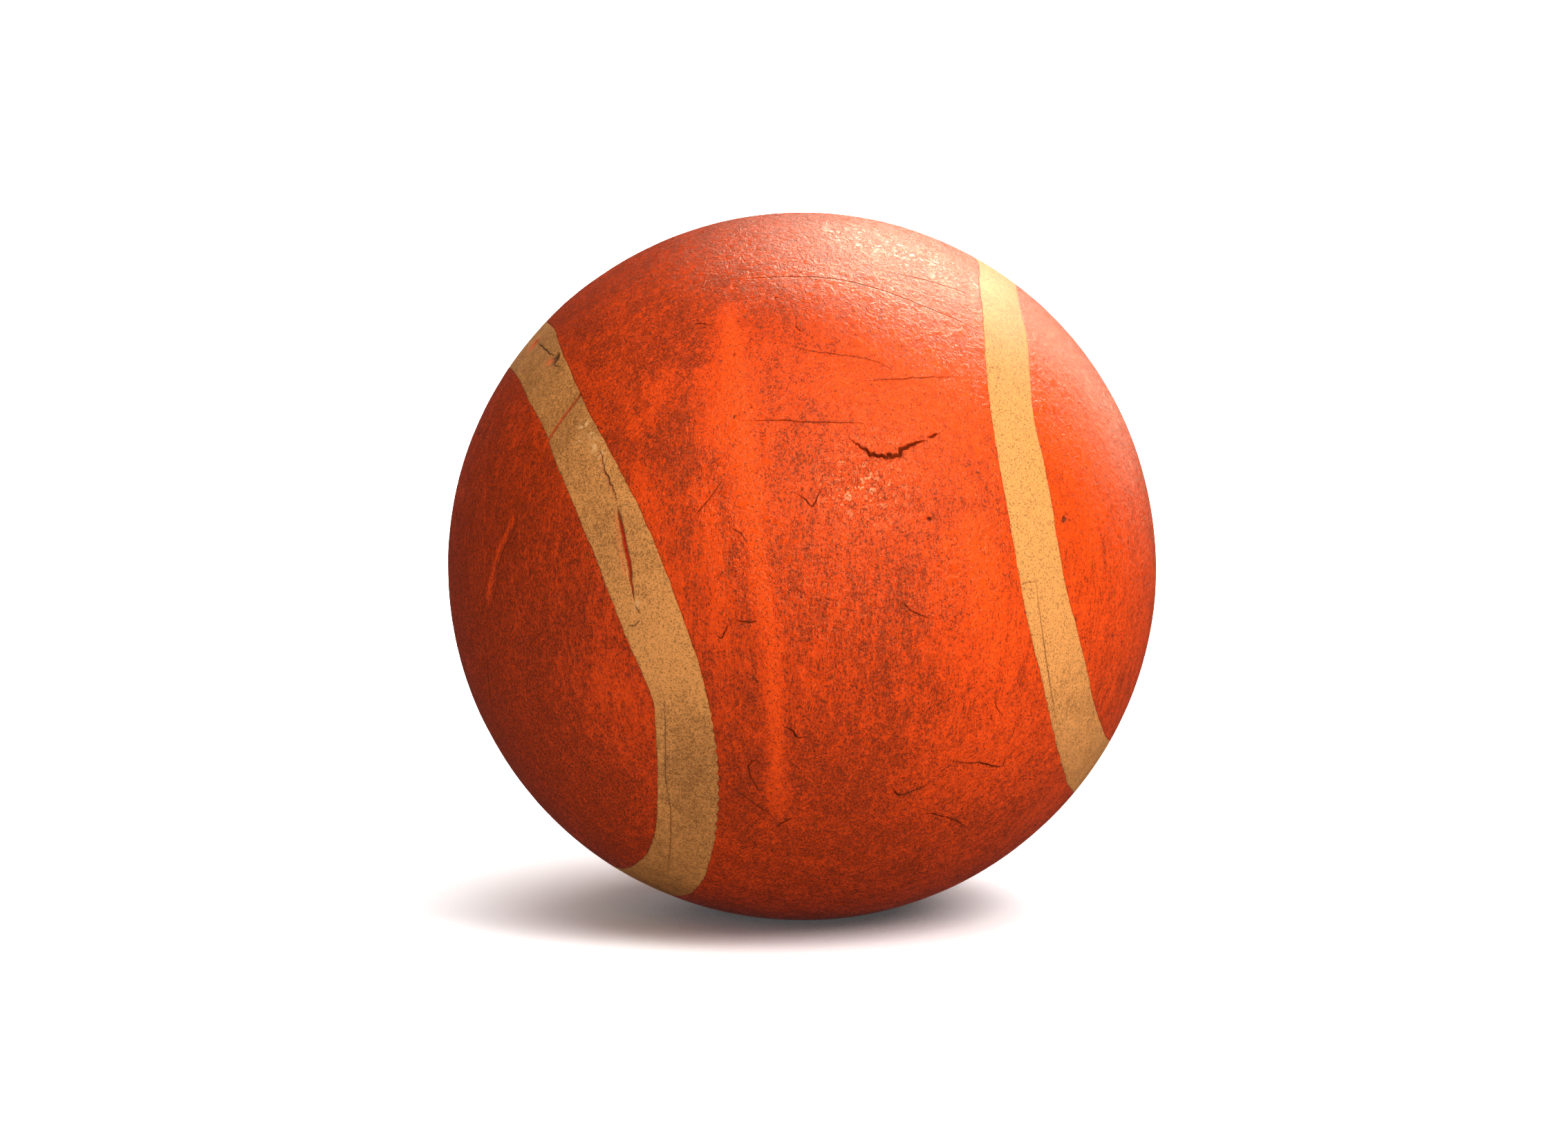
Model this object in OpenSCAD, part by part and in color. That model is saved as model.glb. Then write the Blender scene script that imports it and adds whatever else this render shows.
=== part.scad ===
// Hollow rubber cricket ball: a core in two halves, a cover in two
// dumbbell-shaped panels, and a strip laid over the seam between the panels.
// The ball rests on a small pressed flat, with +Z up and -Y to the front.
// Azimuth 0 points to the front and grows towards +X. Elevation 90 is the crown.

/* [Ball] */
// Diameter of the finished ball
ball_d = 72; // [68:0.5:76]
// Height that the ball has lost at its rest flat
flat_drop = 0.8; // [0.4:0.1:1]

/* [Core] */
// Wall thickness of the two core halves
core_wall = 4.2; // [3:0.1:6]
// Thickness of the cement between the rims of the core halves
core_joint_t = 0.3; // [0.2:0.1:0.6]
// Width of the bead of cement squeezed out inside the core
core_bead_w = 3; // [2:0.5:5]
// Thickness of that bead
core_bead_t = 0.8; // [0.4:0.1:1.2]
// Turn of the core's joint plane about the upright axis
core_joint_turn = -8; // [-30:1:30]
// Lean of the core's joint plane at the crown
core_joint_lean = -5; // [-20:1:20]

/* [Cover] */
// Thickness of the cover panels
cover_t = 1.6; // [1.4:0.1:2.2]
// Thickness of the cement film between core and cover
cover_film_t = 0.2; // [0.1:0.1:0.4]
// Width of the cemented butt seam between the two panels
panel_gap = 0.2; // [0.2:0.1:0.4]

/* [Seam strip] */
// Thickness of the strip, which lies flush in the panels' edges
strip_t = 0.5; // [0.4:0.1:0.7]
// Thickness of the cement film under the strip
strip_film_t = 0.1; // [0.1:0.1:0.2]
// Width of the slit where the two ends of the strip meet
splice_gap = 0.3; // [0.1:0.1:0.4]
// Azimuth of that slit
splice_azimuth = -49; // [-52:0.5:-47]
// Elevation of that slit
splice_elevation = 30; // [28:0.5:32]
// Slant of that slit away from upright
splice_slant = 21; // [10:1:30]

/* [Hidden] */

// Radii of the layers, from the outside in
ball_r = ball_d / 2;
strip_floor_r = ball_r - strip_t;
channel_r = strip_floor_r - strip_film_t;
cover_in_r = ball_r - cover_t;
core_out_r = cover_in_r - cover_film_t;
core_in_r = core_out_r - core_wall;
bead_in_r = core_in_r - core_bead_t;
centre_h = ball_r - flat_drop;

// Stations of the strip, each as [azimuth, elevation, width, seam]: where its
// middle lies, how wide it is there, and how far towards the front panel the
// butt seam under it lies. The strip wanders because it was cut and laid by hand.
CROWN_BACK = [
    [-172, 39.5, 5.8, 0],
    [-152, 37, 5.9, -0.3],
    [-132, 36, 6, -0.2],
    [-113, 37, 6, 0.2],
    [-94, 39, 6, 0.8]
];
LEFT_BAND = [
    [-76, 39.5, 6, 1.4],
    [-62, 36, 5.6, 1.8],
    [-51, 31, 5.3, 1.9],
    [-43, 25, 5.7, 2.1],
    [-36.5, 19, 6.1, 1.6],
    [-31, 12, 6.5, 0.6],
    [-27, 5, 6.7, -0.4],
    [-24, -2, 6.6, -1],
    [-21.5, -8.5, 6.2, -1.6],
    [-20, -14, 5.7, -1.8],
    [-20, -20.5, 6.2, -2.1],
    [-21, -28.5, 6.4, -2.2],
    [-24, -38, 6.2, -1.7],
    [-30, -47, 6.1, -1],
    [-42, -55, 6.4, -0.2]
];
UNDER_BACK = [
    [-63, -60, 6.3, 0.3],
    [-92, -58, 6.2, 0.4],
    [-115, -50, 6.2, 0.2],
    [-133, -42, 6.1, -0.1],
    [-150, -35, 6.1, -0.4],
    [-168, -30, 6.2, -0.5],
    [174, -26, 6.2, -0.3],
    [157, -24, 6.1, 0],
    [140, -25, 6.2, 0.2],
    [122, -29, 6.2, 0.3],
    [103, -33, 6.2, 0.6],
    [84, -34, 6.3, 1.2]
];
RIGHT_BAND = [
    [67, -30, 6.3, 1.9],
    [55, -22, 6.1, 2.3],
    [47, -11, 6.1, 2],
    [42.5, -1, 5.9, 1.3],
    [40.5, 8, 5.8, 1],
    [40.3, 17, 5.9, 0.7],
    [41, 26, 5.7, 0.5],
    [43, 33, 5.4, 0.3],
    [47.5, 40, 5.5, 0.2],
    [55.5, 47, 5.4, 0.1],
    [66, 53, 4.9, 0],
    [80, 56, 4.6, 0]
];
CROWN_SIDE = [
    [98, 57, 5, 0.2],
    [124, 54, 5.4, 0.4],
    [148, 48, 5.6, 0.4],
    [168, 43, 5.7, 0.2]
];
STATIONS = concat(CROWN_BACK, LEFT_BAND, UNDER_BACK, RIGHT_BAND, CROWN_SIDE);

// Points that the line of the strip has for each station
STEPS = 3;
LINE_N = len(STATIONS) * STEPS;
// Reach of the cutters beyond the ball, as a number of radii
REACH = 4;
// Room that a cutter has past the faces that it cuts
OVER = 1;
// Turn of the spheres that puts their poles at the front and the back
pole_turn = 90;
// Length of the cutter for the splice, longer than the strip is wide
SPLICE_L = 14;
$fn = 120;

function direction(azimuth, elevation) = [
    cos(elevation) * sin(azimuth),
    -cos(elevation) * cos(azimuth),
    sin(elevation)
];

function unit(v) = v / norm(v);

// A station as direction, width and seam in one list of five numbers
function knot(i) =
    let (s = STATIONS[(i + len(STATIONS)) % len(STATIONS)])
    concat(direction(s[0], s[1]), [s[2], s[3]]);

// A smooth closed curve through the stations (Catmull-Rom)
function smooth(a, b, c, d, t) = 0.5 * (
    2 * b
    + (c - a) * t
    + (2 * a - 5 * b + 4 * c - d) * t * t
    + (3 * b - a - 3 * c + d) * t * t * t
);

function line_knot(k) =
    let (i = floor(k / STEPS), t = (k % STEPS) / STEPS)
    smooth(knot(i - 1), knot(i), knot(i + 1), knot(i + 2), t);

LINE = [for (k = [0 : LINE_N - 1]) line_knot(k)];

function line_dir(k) =
    let (p = LINE[(k + LINE_N) % LINE_N])
    unit([p[0], p[1], p[2]]);

// The direction at a distance beside the strip's middle, towards the front panel
function beside(k, distance) =
    let (
        middle = line_dir(k),
        along = unit(line_dir(k + 1) - line_dir(k - 1)),
        angle = distance / ball_r * 180 / PI
    )
    middle * cos(angle) + cross(middle, along) * sin(angle);

// The strip's two edges, and a line beside the butt seam
FRONT_EDGE = [for (k = [0 : LINE_N - 1]) beside(k, LINE[k][3] / 2)];
SIDE_EDGE = [for (k = [0 : LINE_N - 1]) beside(k, -LINE[k][3] / 2)];
function butt_line(shift) = [for (k = [0 : LINE_N - 1]) beside(k, LINE[k][4] + shift)];

// A cone from the ball's centre over the front panel's side of a line. Rungs
// from one side of the dumbbell to the other close it outside the ball.
module front_cone(line) {
    n = len(line);
    half = floor(n / 2);
    points = concat([[0, 0, 0]], [for (p = line) p * ball_r * REACH]);
    walls = [for (i = [0 : n - 1]) [0, 1 + i, 1 + (i + 1) % n]];
    lower = [for (i = [1 : half - 1]) [1 + n - i, 2 + i, 1 + i]];
    upper = [for (i = [1 : n - half - 2]) [1 + n - i, n - i, 2 + i]];
    polyhedron(points, concat(walls, [[n, 2, 1]], lower, upper), convexity = 8);
}

// A hollow sphere, with its poles turned to where no edge of a piece runs
module shell(outer_r, inner_r) {
    rotate([pole_turn, 0, 0])
        difference() {
            sphere(r = outer_r);
            sphere(r = inner_r);
        }
}

// The part of a shell that lies under or beside the strip, between two lines
module band(outer_r, inner_r, front_line, side_line) {
    difference() {
        intersection() {
            shell(outer_r, inner_r);
            front_cone(side_line);
        }
        front_cone(front_line);
    }
}

module at_ball_centre() {
    translate([0, 0, centre_h])
        children();
}

module at_core_joint() {
    rotate([0, core_joint_lean, core_joint_turn])
        children();
}

module core_half(side) {
    start = core_joint_t / 2;
    color("#8c3b22")
        at_ball_centre()
            at_core_joint()
                mirror([side < 0 ? 1 : 0, 0, 0])
                    intersection() {
                        shell(core_out_r, core_in_r);
                        translate([start, -ball_r, -ball_r])
                            cube([ball_r, ball_d, ball_d]);
                    }
}

module core_half_left() {
    core_half(-1);
}

module core_half_right() {
    core_half(1);
}

// Section of a layer of cement that lies across the joint plane
module joint_section(outer_r, width) {
    intersection() {
        difference() {
            circle(r = outer_r);
            circle(r = bead_in_r);
        }
        translate([0, -width / 2])
            square([ball_d, width]);
    }
}

// Cement between the rims, with the bead that it forms inside the core
module core_joint_cement() {
    color("#d9c9a3")
        at_ball_centre()
            at_core_joint()
                rotate([0, 90, 0])
                    rotate_extrude()
                        union() {
                            joint_section(core_out_r, core_joint_t);
                            joint_section(core_in_r, core_bead_w);
                        }
}

module cover_cement() {
    color("#7a4a33")
        at_ball_centre()
            shell(cover_in_r, core_out_r);
}

// The space of the strip and its film beyond the channel that the strip fills
module channel_layer() {
    shell(ball_r + OVER, channel_r);
}

module below_flat() {
    translate([-ball_r, -ball_r, -ball_r - centre_h])
        cube([ball_d, ball_d, ball_r]);
}

module cover_panel_front() {
    color("#b9552d")
        at_ball_centre()
            difference() {
                intersection() {
                    shell(ball_r, cover_in_r);
                    front_cone(butt_line(panel_gap / 2));
                }
                difference() {
                    channel_layer();
                    front_cone(FRONT_EDGE);
                }
                below_flat();
            }
}

module cover_panel_side() {
    color("#a84a28")
        at_ball_centre()
            difference() {
                shell(ball_r, cover_in_r);
                front_cone(butt_line(-panel_gap / 2));
                intersection() {
                    channel_layer();
                    front_cone(SIDE_EDGE);
                }
            }
}

module panel_joint_cement() {
    color("#5e2a1c")
        at_ball_centre()
            band(channel_r, cover_in_r, butt_line(panel_gap / 2), butt_line(-panel_gap / 2));
}

module strip_cement() {
    color("#6b3a24")
        at_ball_centre()
            band(strip_floor_r, channel_r, FRONT_EDGE, SIDE_EDGE);
}

module splice_slit() {
    rotate([0, -splice_elevation, splice_azimuth - 90])
        translate([ball_r, 0, 0])
            rotate([-splice_slant, 0, 0])
                cube([4 * strip_t, splice_gap, SPLICE_L], center = true);
}

module seam_strip() {
    color("#b98d4f")
        at_ball_centre()
            difference() {
                band(ball_r, strip_floor_r, FRONT_EDGE, SIDE_EDGE);
                splice_slit();
            }
}

core_half_left();
core_half_right();
core_joint_cement();
cover_cement();
cover_panel_front();
cover_panel_side();
panel_joint_cement();
strip_cement();
seam_strip();
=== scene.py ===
"""Looks of an old hollow rubber cricket ball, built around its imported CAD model.

The CAD's cover panels and seam strip are rebuilt as closed solids with cut edges,
splits, cracks and wear. The core and the cements keep their CAD shapes and are
dressed here. Lengths are in millimetres from the ball's centre until a mesh is made.
"""

import logging
import math
from dataclasses import dataclass, field
from enum import Enum

import bpy
import numpy as np
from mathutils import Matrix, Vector
from mathutils.geometry import delaunay_2d_cdt
from mathutils.kdtree import KDTree


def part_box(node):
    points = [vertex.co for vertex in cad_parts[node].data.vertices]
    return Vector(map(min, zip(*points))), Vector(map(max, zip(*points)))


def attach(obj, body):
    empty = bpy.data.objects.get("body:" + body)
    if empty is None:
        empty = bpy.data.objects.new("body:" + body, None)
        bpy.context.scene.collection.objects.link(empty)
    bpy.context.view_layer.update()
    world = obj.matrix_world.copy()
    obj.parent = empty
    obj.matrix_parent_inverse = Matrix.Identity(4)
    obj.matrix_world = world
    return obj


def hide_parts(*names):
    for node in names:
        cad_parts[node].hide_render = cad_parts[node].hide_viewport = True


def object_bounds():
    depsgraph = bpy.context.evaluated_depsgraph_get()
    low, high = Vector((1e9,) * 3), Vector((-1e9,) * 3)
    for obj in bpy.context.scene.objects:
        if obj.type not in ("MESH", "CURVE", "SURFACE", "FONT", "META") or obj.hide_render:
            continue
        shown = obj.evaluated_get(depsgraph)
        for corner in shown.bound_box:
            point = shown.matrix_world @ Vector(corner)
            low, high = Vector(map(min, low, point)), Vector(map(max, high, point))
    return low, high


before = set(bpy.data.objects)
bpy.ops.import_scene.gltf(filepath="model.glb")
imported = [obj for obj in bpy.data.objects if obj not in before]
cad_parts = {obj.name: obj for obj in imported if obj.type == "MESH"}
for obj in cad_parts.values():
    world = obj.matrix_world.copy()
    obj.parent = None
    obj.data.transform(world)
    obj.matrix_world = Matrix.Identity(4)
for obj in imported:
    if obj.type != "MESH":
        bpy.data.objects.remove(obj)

CAD_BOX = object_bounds()
LOG = logging.getLogger("ball")
MM = 0.001
GOLDEN = math.pi * (3 - math.sqrt(5))
UP = np.array([0.0, 0.0, 1.0])
# Height over the floor within which a mesh eases onto it, in millimetres
SOFT_FLOOR = 0.05
# Distance on a flat chart under which two points are one
SAME_POINT = 1e-7
# Area of a hexagon's share in a grid of neighbours at distance 1
GRID_AREA = 0.866
# Cell in which two points of a mesh are too close, in millimetres
WELD = 0.05
# Share of the grid's spacing that a loose point keeps from the fixed ones
ELBOW_ROOM = 0.45
AzEl = tuple[float, float]
Colour = tuple[float, float, float, float]
Socket = bpy.types.NodeSocket
Tree = bpy.types.ShaderNodeTree


# --- Directions from the ball's centre ------------------------------------------------


def unit(vectors: np.ndarray) -> np.ndarray:
    """Vectors scaled to length 1."""
    return vectors / np.linalg.norm(vectors, axis=-1, keepdims=True)


def headings(places: list[AzEl] | tuple[AzEl, ...]) -> np.ndarray:
    """Directions of places on the ball.

    Args:
        places: (azimuth, elevation) pairs in degrees; azimuth 0 is the front.

    Returns:
        One unit vector a row.
    """
    angles = np.radians(np.array(places, float).reshape(-1, 2))
    level = np.cos(angles[:, 1])
    return np.stack(
        [level * np.sin(angles[:, 0]), -level * np.cos(angles[:, 0]), np.sin(angles[:, 1])],
        axis=1,
    )


def spread(spacing: float, radius: float) -> np.ndarray:
    """Directions spread evenly over the whole ball.

    Args:
        spacing: distance between neighbours at that radius.
        radius: radius that the spacing is measured at.

    Returns:
        One unit vector a row.
    """
    count = int(4 * math.pi * radius**2 / (GRID_AREA * spacing**2))
    k = np.arange(count)
    z = 1 - (2 * k + 1) / count
    level = np.sqrt(1 - z * z)
    return np.stack([level * np.cos(k * GOLDEN), level * np.sin(k * GOLDEN), z], axis=1)


def along(line: np.ndarray, closed: bool) -> np.ndarray:
    """Directions of travel at each point of a line on the ball.

    Args:
        line: directions of the line's points.
        closed: whether the line ends where it starts.

    Returns:
        One unit vector a row.
    """
    if closed:
        ahead, behind = np.roll(line, -1, axis=0), np.roll(line, 1, axis=0)
    else:
        ahead = np.concatenate([line[1:], line[-1:]])
        behind = np.concatenate([line[:1], line[:-1]])
    step = ahead - behind
    step -= np.sum(step * line, axis=1, keepdims=True) * line
    return unit(step)


def shifted(
    line: np.ndarray, travel: np.ndarray, offset: np.ndarray | float, radius: float
) -> np.ndarray:
    """A line moved to its left.

    Args:
        line: directions of the line's points.
        travel: direction of travel at each point.
        offset: how far each point moves at that radius.
        radius: radius that the offset is measured at.

    Returns:
        Directions of the moved points.
    """
    move = np.reshape(np.asarray(offset, float) / radius, (-1, 1))
    return unit(line + np.cross(line, travel) * move)


def respaced(line: np.ndarray, step: float, radius: float, closed: bool) -> np.ndarray:
    """A line with its points at even distances.

    Args:
        line: directions of the line's points.
        step: distance between two points at that radius.
        radius: radius that the step is measured at.
        closed: whether the line ends where it starts.

    Returns:
        Directions of the new points.
    """
    whole = np.concatenate([line, line[:1]]) if closed else line
    lengths = np.linalg.norm(np.diff(whole, axis=0), axis=1) * radius
    run = np.concatenate([[0.0], np.cumsum(lengths)])
    count = max(3, round(run[-1] / step))
    stops = np.linspace(0, run[-1], count + 1)
    stops = stops[:-1] if closed else stops
    return unit(np.stack([np.interp(stops, run, whole[:, k]) for k in range(3)], axis=1))


def curved(places: tuple[AzEl, ...], step: float, radius: float) -> np.ndarray:
    """A smooth open line through places on the ball (Catmull-Rom).

    Args:
        places: the places that it runs through.
        step: distance between two points at that radius.
        radius: radius that the step is measured at.

    Returns:
        Directions of the line's points.
    """
    knots = headings(places)
    knots = np.concatenate([2 * knots[:1] - knots[1:2], knots, 2 * knots[-1:] - knots[-2:-1]])
    t = np.linspace(0, 1, 12, endpoint=False)[:, None]
    parts = []
    for a, b, c, d in zip(knots, knots[1:], knots[2:], knots[3:]):
        square, cube = 2 * a - 5 * b + 4 * c - d, 3 * b - a - 3 * c + d
        parts.append(0.5 * (2 * b + (c - a) * t + square * t**2 + cube * t**3))
    parts.append(knots[-2:-1])
    return respaced(unit(np.concatenate(parts)), step, radius, closed=False)


class Grain:
    """Smooth seeded noise in space, from -1 to 1."""

    SIDE = 64
    SHIFT = 0.37

    def __init__(self, seed: int) -> None:
        """Draws the noise.

        Args:
            seed: number that it is drawn from.
        """
        self.values = np.random.default_rng(seed).uniform(-1, 1, (self.SIDE,) * 3)

    def at(self, points: np.ndarray, size: float) -> np.ndarray:
        """The noise at some points.

        Args:
            points: the points, one a row.
            size: about how large its lumps are.

        Returns:
            One value for each point.
        """
        place = points / size + self.SIDE / 2 + self.SHIFT
        cell = np.floor(place).astype(int)
        t = place - cell
        t = t * t * (3 - 2 * t)
        total = np.zeros(len(points))
        for corner in np.ndindex(2, 2, 2):
            weight = np.prod(np.where(np.array(corner) == 1, t, 1 - t), axis=1)
            x, y, z = ((cell + corner) % self.SIDE).T
            total += weight * self.values[x, y, z]
        return total


# --- The frame's own shape ------------------------------------------------------------


@dataclass(frozen=True)
class BallShape:
    """Radii and place of the ball's layers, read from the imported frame."""

    radius: float
    strip_floor: float
    ledge: float
    cover_inside: float
    centre_z: float

    SKIN_DEPTH = 0.1
    ON_SKIN = 0.02

    @classmethod
    def from_frame(cls) -> "BallShape":
        """Reads the radii from the CAD nodes.

        Returns:
            The ball's shape.
        """
        low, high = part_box("cover_cement")
        centre_z = (low.z + high.z) / 2 / MM
        shape = cls(0, 0, 0, 0, centre_z)
        strip = np.linalg.norm(shape.cad_points("seam_strip"), axis=1)
        film = np.linalg.norm(shape.cad_points("strip_cement"), axis=1)
        panel = np.linalg.norm(shape.cad_points("cover_panel_side"), axis=1)
        return cls(strip.max(), strip.min(), film.min(), panel.min(), centre_z)

    def cad_points(self, node: str) -> np.ndarray:
        """A CAD node's vertices.

        Args:
            node: the CAD node's name.

        Returns:
            Their places from the ball's centre, in millimetres.
        """
        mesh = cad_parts[node].data
        points = np.empty(len(mesh.vertices) * 3)
        mesh.vertices.foreach_get("co", points)
        return points.reshape(-1, 3) / MM - UP * self.centre_z

    def cut_line(self, node: str, radius: float, rank: int = 0) -> np.ndarray:
        """A closed line where the skin of a CAD node at one radius ends.

        Args:
            node: the CAD node's name.
            radius: radius of the skin.
            rank: which line, the longest being 0.

        Returns:
            Directions along the line, with the skin on its left.
        """
        points = self.cad_points(node)
        welded, number = np.unique(np.round(points, 3), axis=0, return_inverse=True)
        number = number.ravel()
        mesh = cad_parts[node].data
        mesh.calc_loop_triangles()
        corners = np.empty(len(mesh.loop_triangles) * 3, int)
        mesh.loop_triangles.foreach_get("vertices", corners)
        faces = number[corners].reshape(-1, 3)
        heights = np.linalg.norm(welded, axis=1)[faces] - radius
        on_skin = np.all(np.abs(heights) < self.ON_SKIN, axis=1)
        middles = np.linalg.norm(welded[faces].mean(axis=1), axis=1)
        faces = faces[on_skin & (middles > radius - self.SKIN_DEPTH)]
        edges = {(int(f[k]), int(f[(k + 1) % 3])) for f in faces for k in range(3)}
        follows = {a: b for a, b in edges if (b, a) not in edges}
        lines = []
        while follows:
            start, here = follows.popitem()
            chain = [start]
            while here != start:
                chain.append(here)
                here = follows.pop(here)
            lines.append(unit(welded[chain]))
        lines.sort(key=lambda line: -np.linalg.norm(np.diff(line, axis=0), axis=1).sum())
        return lines[rank]


# --- Hand-cut edges -------------------------------------------------------------------


@dataclass(frozen=True)
class HandCut:
    """How the rubber's cut edges wander around the CAD's lines."""

    step: float = 0.17
    soften: float = 0.8
    corner_turn: float = 35.0
    clearance: float = 0.008
    waves: tuple[tuple[float, float], ...] = ((0.35, 0.03), (0.9, 0.06), (3.0, 0.07))
    scallop: float = 0.24
    scallop_level: float = 0.6
    scallop_pitch: float = 1.15
    scallop_at: AzEl = (-17.0, -36.0)
    scallop_reach: float = 13.0
    splice_at: AzEl = (-49.0, 30.0)
    splice_slant: float = 21.0
    splice_reach: float = 5.0
    splice_pull: float = 0.05

    FRONT_FROM = -19.5
    FRONT_FADE = 1.5
    FRONT_TO = 5

    def edge(self, line: np.ndarray, radius: float, grain: Grain, side: int) -> np.ndarray:
        """The edge that the knife left along a CAD line.

        Args:
            line: closed line with the piece on its left.
            radius: radius of the skin.
            grain: noise that both neighbours share, so that they still meet.
            side: 1 for the strip, -1 for a panel.

        Returns:
            Directions along the edge.
        """
        line = respaced(line, self.step, radius, closed=True)
        line = self.softened(line, radius)
        travel = along(line, closed=True)
        wander = sum(size_of * grain.at(line * radius, size) for size, size_of in self.waves)
        near = np.linalg.norm(line - headings([self.scallop_at]), axis=1) * radius
        rise = np.abs(np.sin(math.pi * line[:, 2] * radius / self.scallop_pitch))
        lobes = self.scallop * (self.scallop_level - rise) * np.exp(-((near / self.scallop_reach) ** 4))
        wander += lobes * self.is_front(line)
        wander += self.splice_pull * self.is_splice(line, travel, radius)
        return shifted(line, travel, side * wander + self.clearance, radius)

    def is_splice(self, line: np.ndarray, travel: np.ndarray, radius: float) -> np.ndarray:
        """Where a line runs along the strip's splice.

        Args:
            line: directions of the line's points.
            travel: direction of travel at each point.
            radius: radius of the skin.

        Returns:
            1 along the splice, and 0 elsewhere.
        """
        middle = headings([self.splice_at])[0]
        east = unit(np.cross(UP, middle))
        slant = math.radians(self.splice_slant)
        slit = np.cross(middle, east) * math.cos(slant) + east * math.sin(slant)
        near = np.linalg.norm(line - middle, axis=1) * radius < self.splice_reach
        return np.clip(np.abs(travel @ slit) * 10 - 8, 0, 1) * near

    def is_front(self, line: np.ndarray) -> np.ndarray:
        """1 where the lower left band meets the front panel, and 0 elsewhere."""
        azimuth = np.degrees(np.arctan2(line[:, 0], -line[:, 1]))
        return np.clip((azimuth - self.FRONT_FROM) / self.FRONT_FADE, 0, 1) * (azimuth < self.FRONT_TO)

    def softened(self, line: np.ndarray, radius: float) -> np.ndarray:
        """The line without the CAD's facets, but with its true corners.

        Args:
            line: closed line with its points at even distances.
            radius: radius of the skin.

        Returns:
            Directions along the softened line.
        """
        reach = int(3 * self.soften / self.step)
        offsets = np.arange(-reach, reach + 1)
        weights = np.exp(-0.5 * (offsets * self.step / self.soften) ** 2)
        weights /= weights.sum()
        smooth = sum(w * np.roll(line, k, axis=0) for w, k in zip(weights, offsets))
        travel = along(line, closed=True)
        behind, ahead = np.roll(travel, 2, 0), np.roll(travel, -2, 0)
        turn = np.degrees(np.arccos(np.clip(np.sum(behind * ahead, 1), -1, 1)))
        sharp = turn > self.corner_turn
        keep = np.zeros(len(line))
        for k in range(-reach, reach + 1):
            keep = np.maximum(keep, np.roll(sharp, k) * np.clip(2 - 2 * abs(k) / reach, 0, 1))
        return unit(smooth * (1 - keep[:, None]) + line * keep[:, None])


# --- Splits, creases and wear ---------------------------------------------------------


class Wear(Enum):
    """What has happened to the rubber's surface at a place, from 0 to 1, and where shade is painted on it."""

    # The grime key holds dirt in cracks and along cut edges, and also painted shade: a painted shadow inside
    # the strip's torn hole and painted shade on the ledge under the strip.
    GRIME_AND_SHADE = "grime"
    TORN = "torn"
    RUBBED = "rubbed"
    VEIL = "veil"
    FLAKE = "flake"


def bent_share(share: np.ndarray, widest: float) -> np.ndarray:
    """A share of a length, bent so that 0.5 falls on the widest place."""
    late = 0.5 + (share - widest) / (1 - widest) / 2
    return np.where(share < widest, share / widest / 2, late)


@dataclass(frozen=True)
class Split:
    """A crack, split or crease that runs along a route over the skin."""

    route: tuple[AzEl, ...]
    width: float = 0.1
    depth: float = 0.12
    widest: float = 0.5
    jag: float = 0.08
    lip: float = 0.0
    torn: float = 0.0
    grime: float = 1.0
    seed: int = 0

    STEP = 0.15
    BANKS = (0.07, 0.25, 0.6)
    WIDE = 0.2
    MARGIN = 2.5
    HOLLOW = 0.75
    LIP_REACH = 0.35
    DIRT_REACH = 0.06
    TORN_REACH = 0.22
    TAPER = 1.4
    SEEDS_FROM = 900

    def line(self, radius: float) -> np.ndarray:
        """The split's middle, with its jags.

        Args:
            radius: radius of the skin.

        Returns:
            Directions along it.
        """
        line = curved(self.route, self.STEP, radius)
        grain = Grain(self.SEEDS_FROM + self.seed)
        sway = grain.at(line * radius, 0.24) + grain.at(line * radius, 1.0) * 0.7
        ends = np.sin(np.linspace(0, math.pi, len(line))) ** 0.5
        return shifted(line, along(line, closed=False), sway * self.jag * ends, radius)

    def half_width(self, share: np.ndarray) -> np.ndarray:
        """Half the split's width at a share of its length."""
        bent = bent_share(share, self.widest)
        return self.width / 2 * (0.15 + 0.85 * np.sin(math.pi * np.clip(bent, 0, 1)) ** 0.8)

    def rows(self, radius: float) -> np.ndarray:
        """Points along the split that its shape needs.

        Args:
            radius: radius of the skin.

        Returns:
            Their directions.
        """
        line = self.line(radius)
        travel = along(line, closed=False)
        half = self.half_width(np.linspace(0, 1, len(line)))
        found = [line]
        for side in (-1, 1):
            if self.width > self.WIDE:
                found.append(shifted(line, travel, side * half * 0.5, radius))
            found.append(shifted(line, travel, side * half, radius))
            found += [shifted(line, travel, side * (half + bank), radius) for bank in self.BANKS]
        return np.concatenate(found)

    def marks(self, points: np.ndarray, radius: float) -> tuple[np.ndarray, dict[Wear, np.ndarray]]:
        """What the split does to the skin.

        Args:
            points: directions of the skin's points.
            radius: radius of the skin.

        Returns:
            How far each point is lifted, and its wear.
        """
        line = self.line(radius)
        height = np.zeros(len(points))
        wear = {kind: np.zeros(len(points)) for kind in (Wear.GRIME_AND_SHADE, Wear.TORN)}
        middle = unit(line.mean(axis=0))
        reach = np.linalg.norm(line - middle, axis=1).max() * radius + self.MARGIN
        near = np.flatnonzero(np.linalg.norm(points - middle, axis=1) * radius < reach)
        if not len(near):
            return height, wear
        away, share, side = nearest(points[near], line, radius)
        half = self.half_width(share)
        inside = np.clip(1 - away / half, 0, 1) ** self.HOLLOW
        beside = np.clip(away - half, 0, None)
        fade = np.clip((half / (self.width / 2)) * self.TAPER, 0, 1)
        bank = np.exp(-((beside / self.LIP_REACH) ** 2)) * (away > half * 0.98) * fade
        height[near] = -self.depth * inside * fade + self.lip * bank * (0.6 + 0.4 * side)
        dirt = np.maximum(inside > 0.01, np.exp(-((beside / self.DIRT_REACH) ** 2)) * 0.5) * fade
        wear[Wear.GRIME_AND_SHADE][near] = self.grime * dirt
        wear[Wear.TORN][near] = self.torn * np.exp(-((beside / self.TORN_REACH) ** 2)) * (side < 0) * fade
        return height, wear


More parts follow.
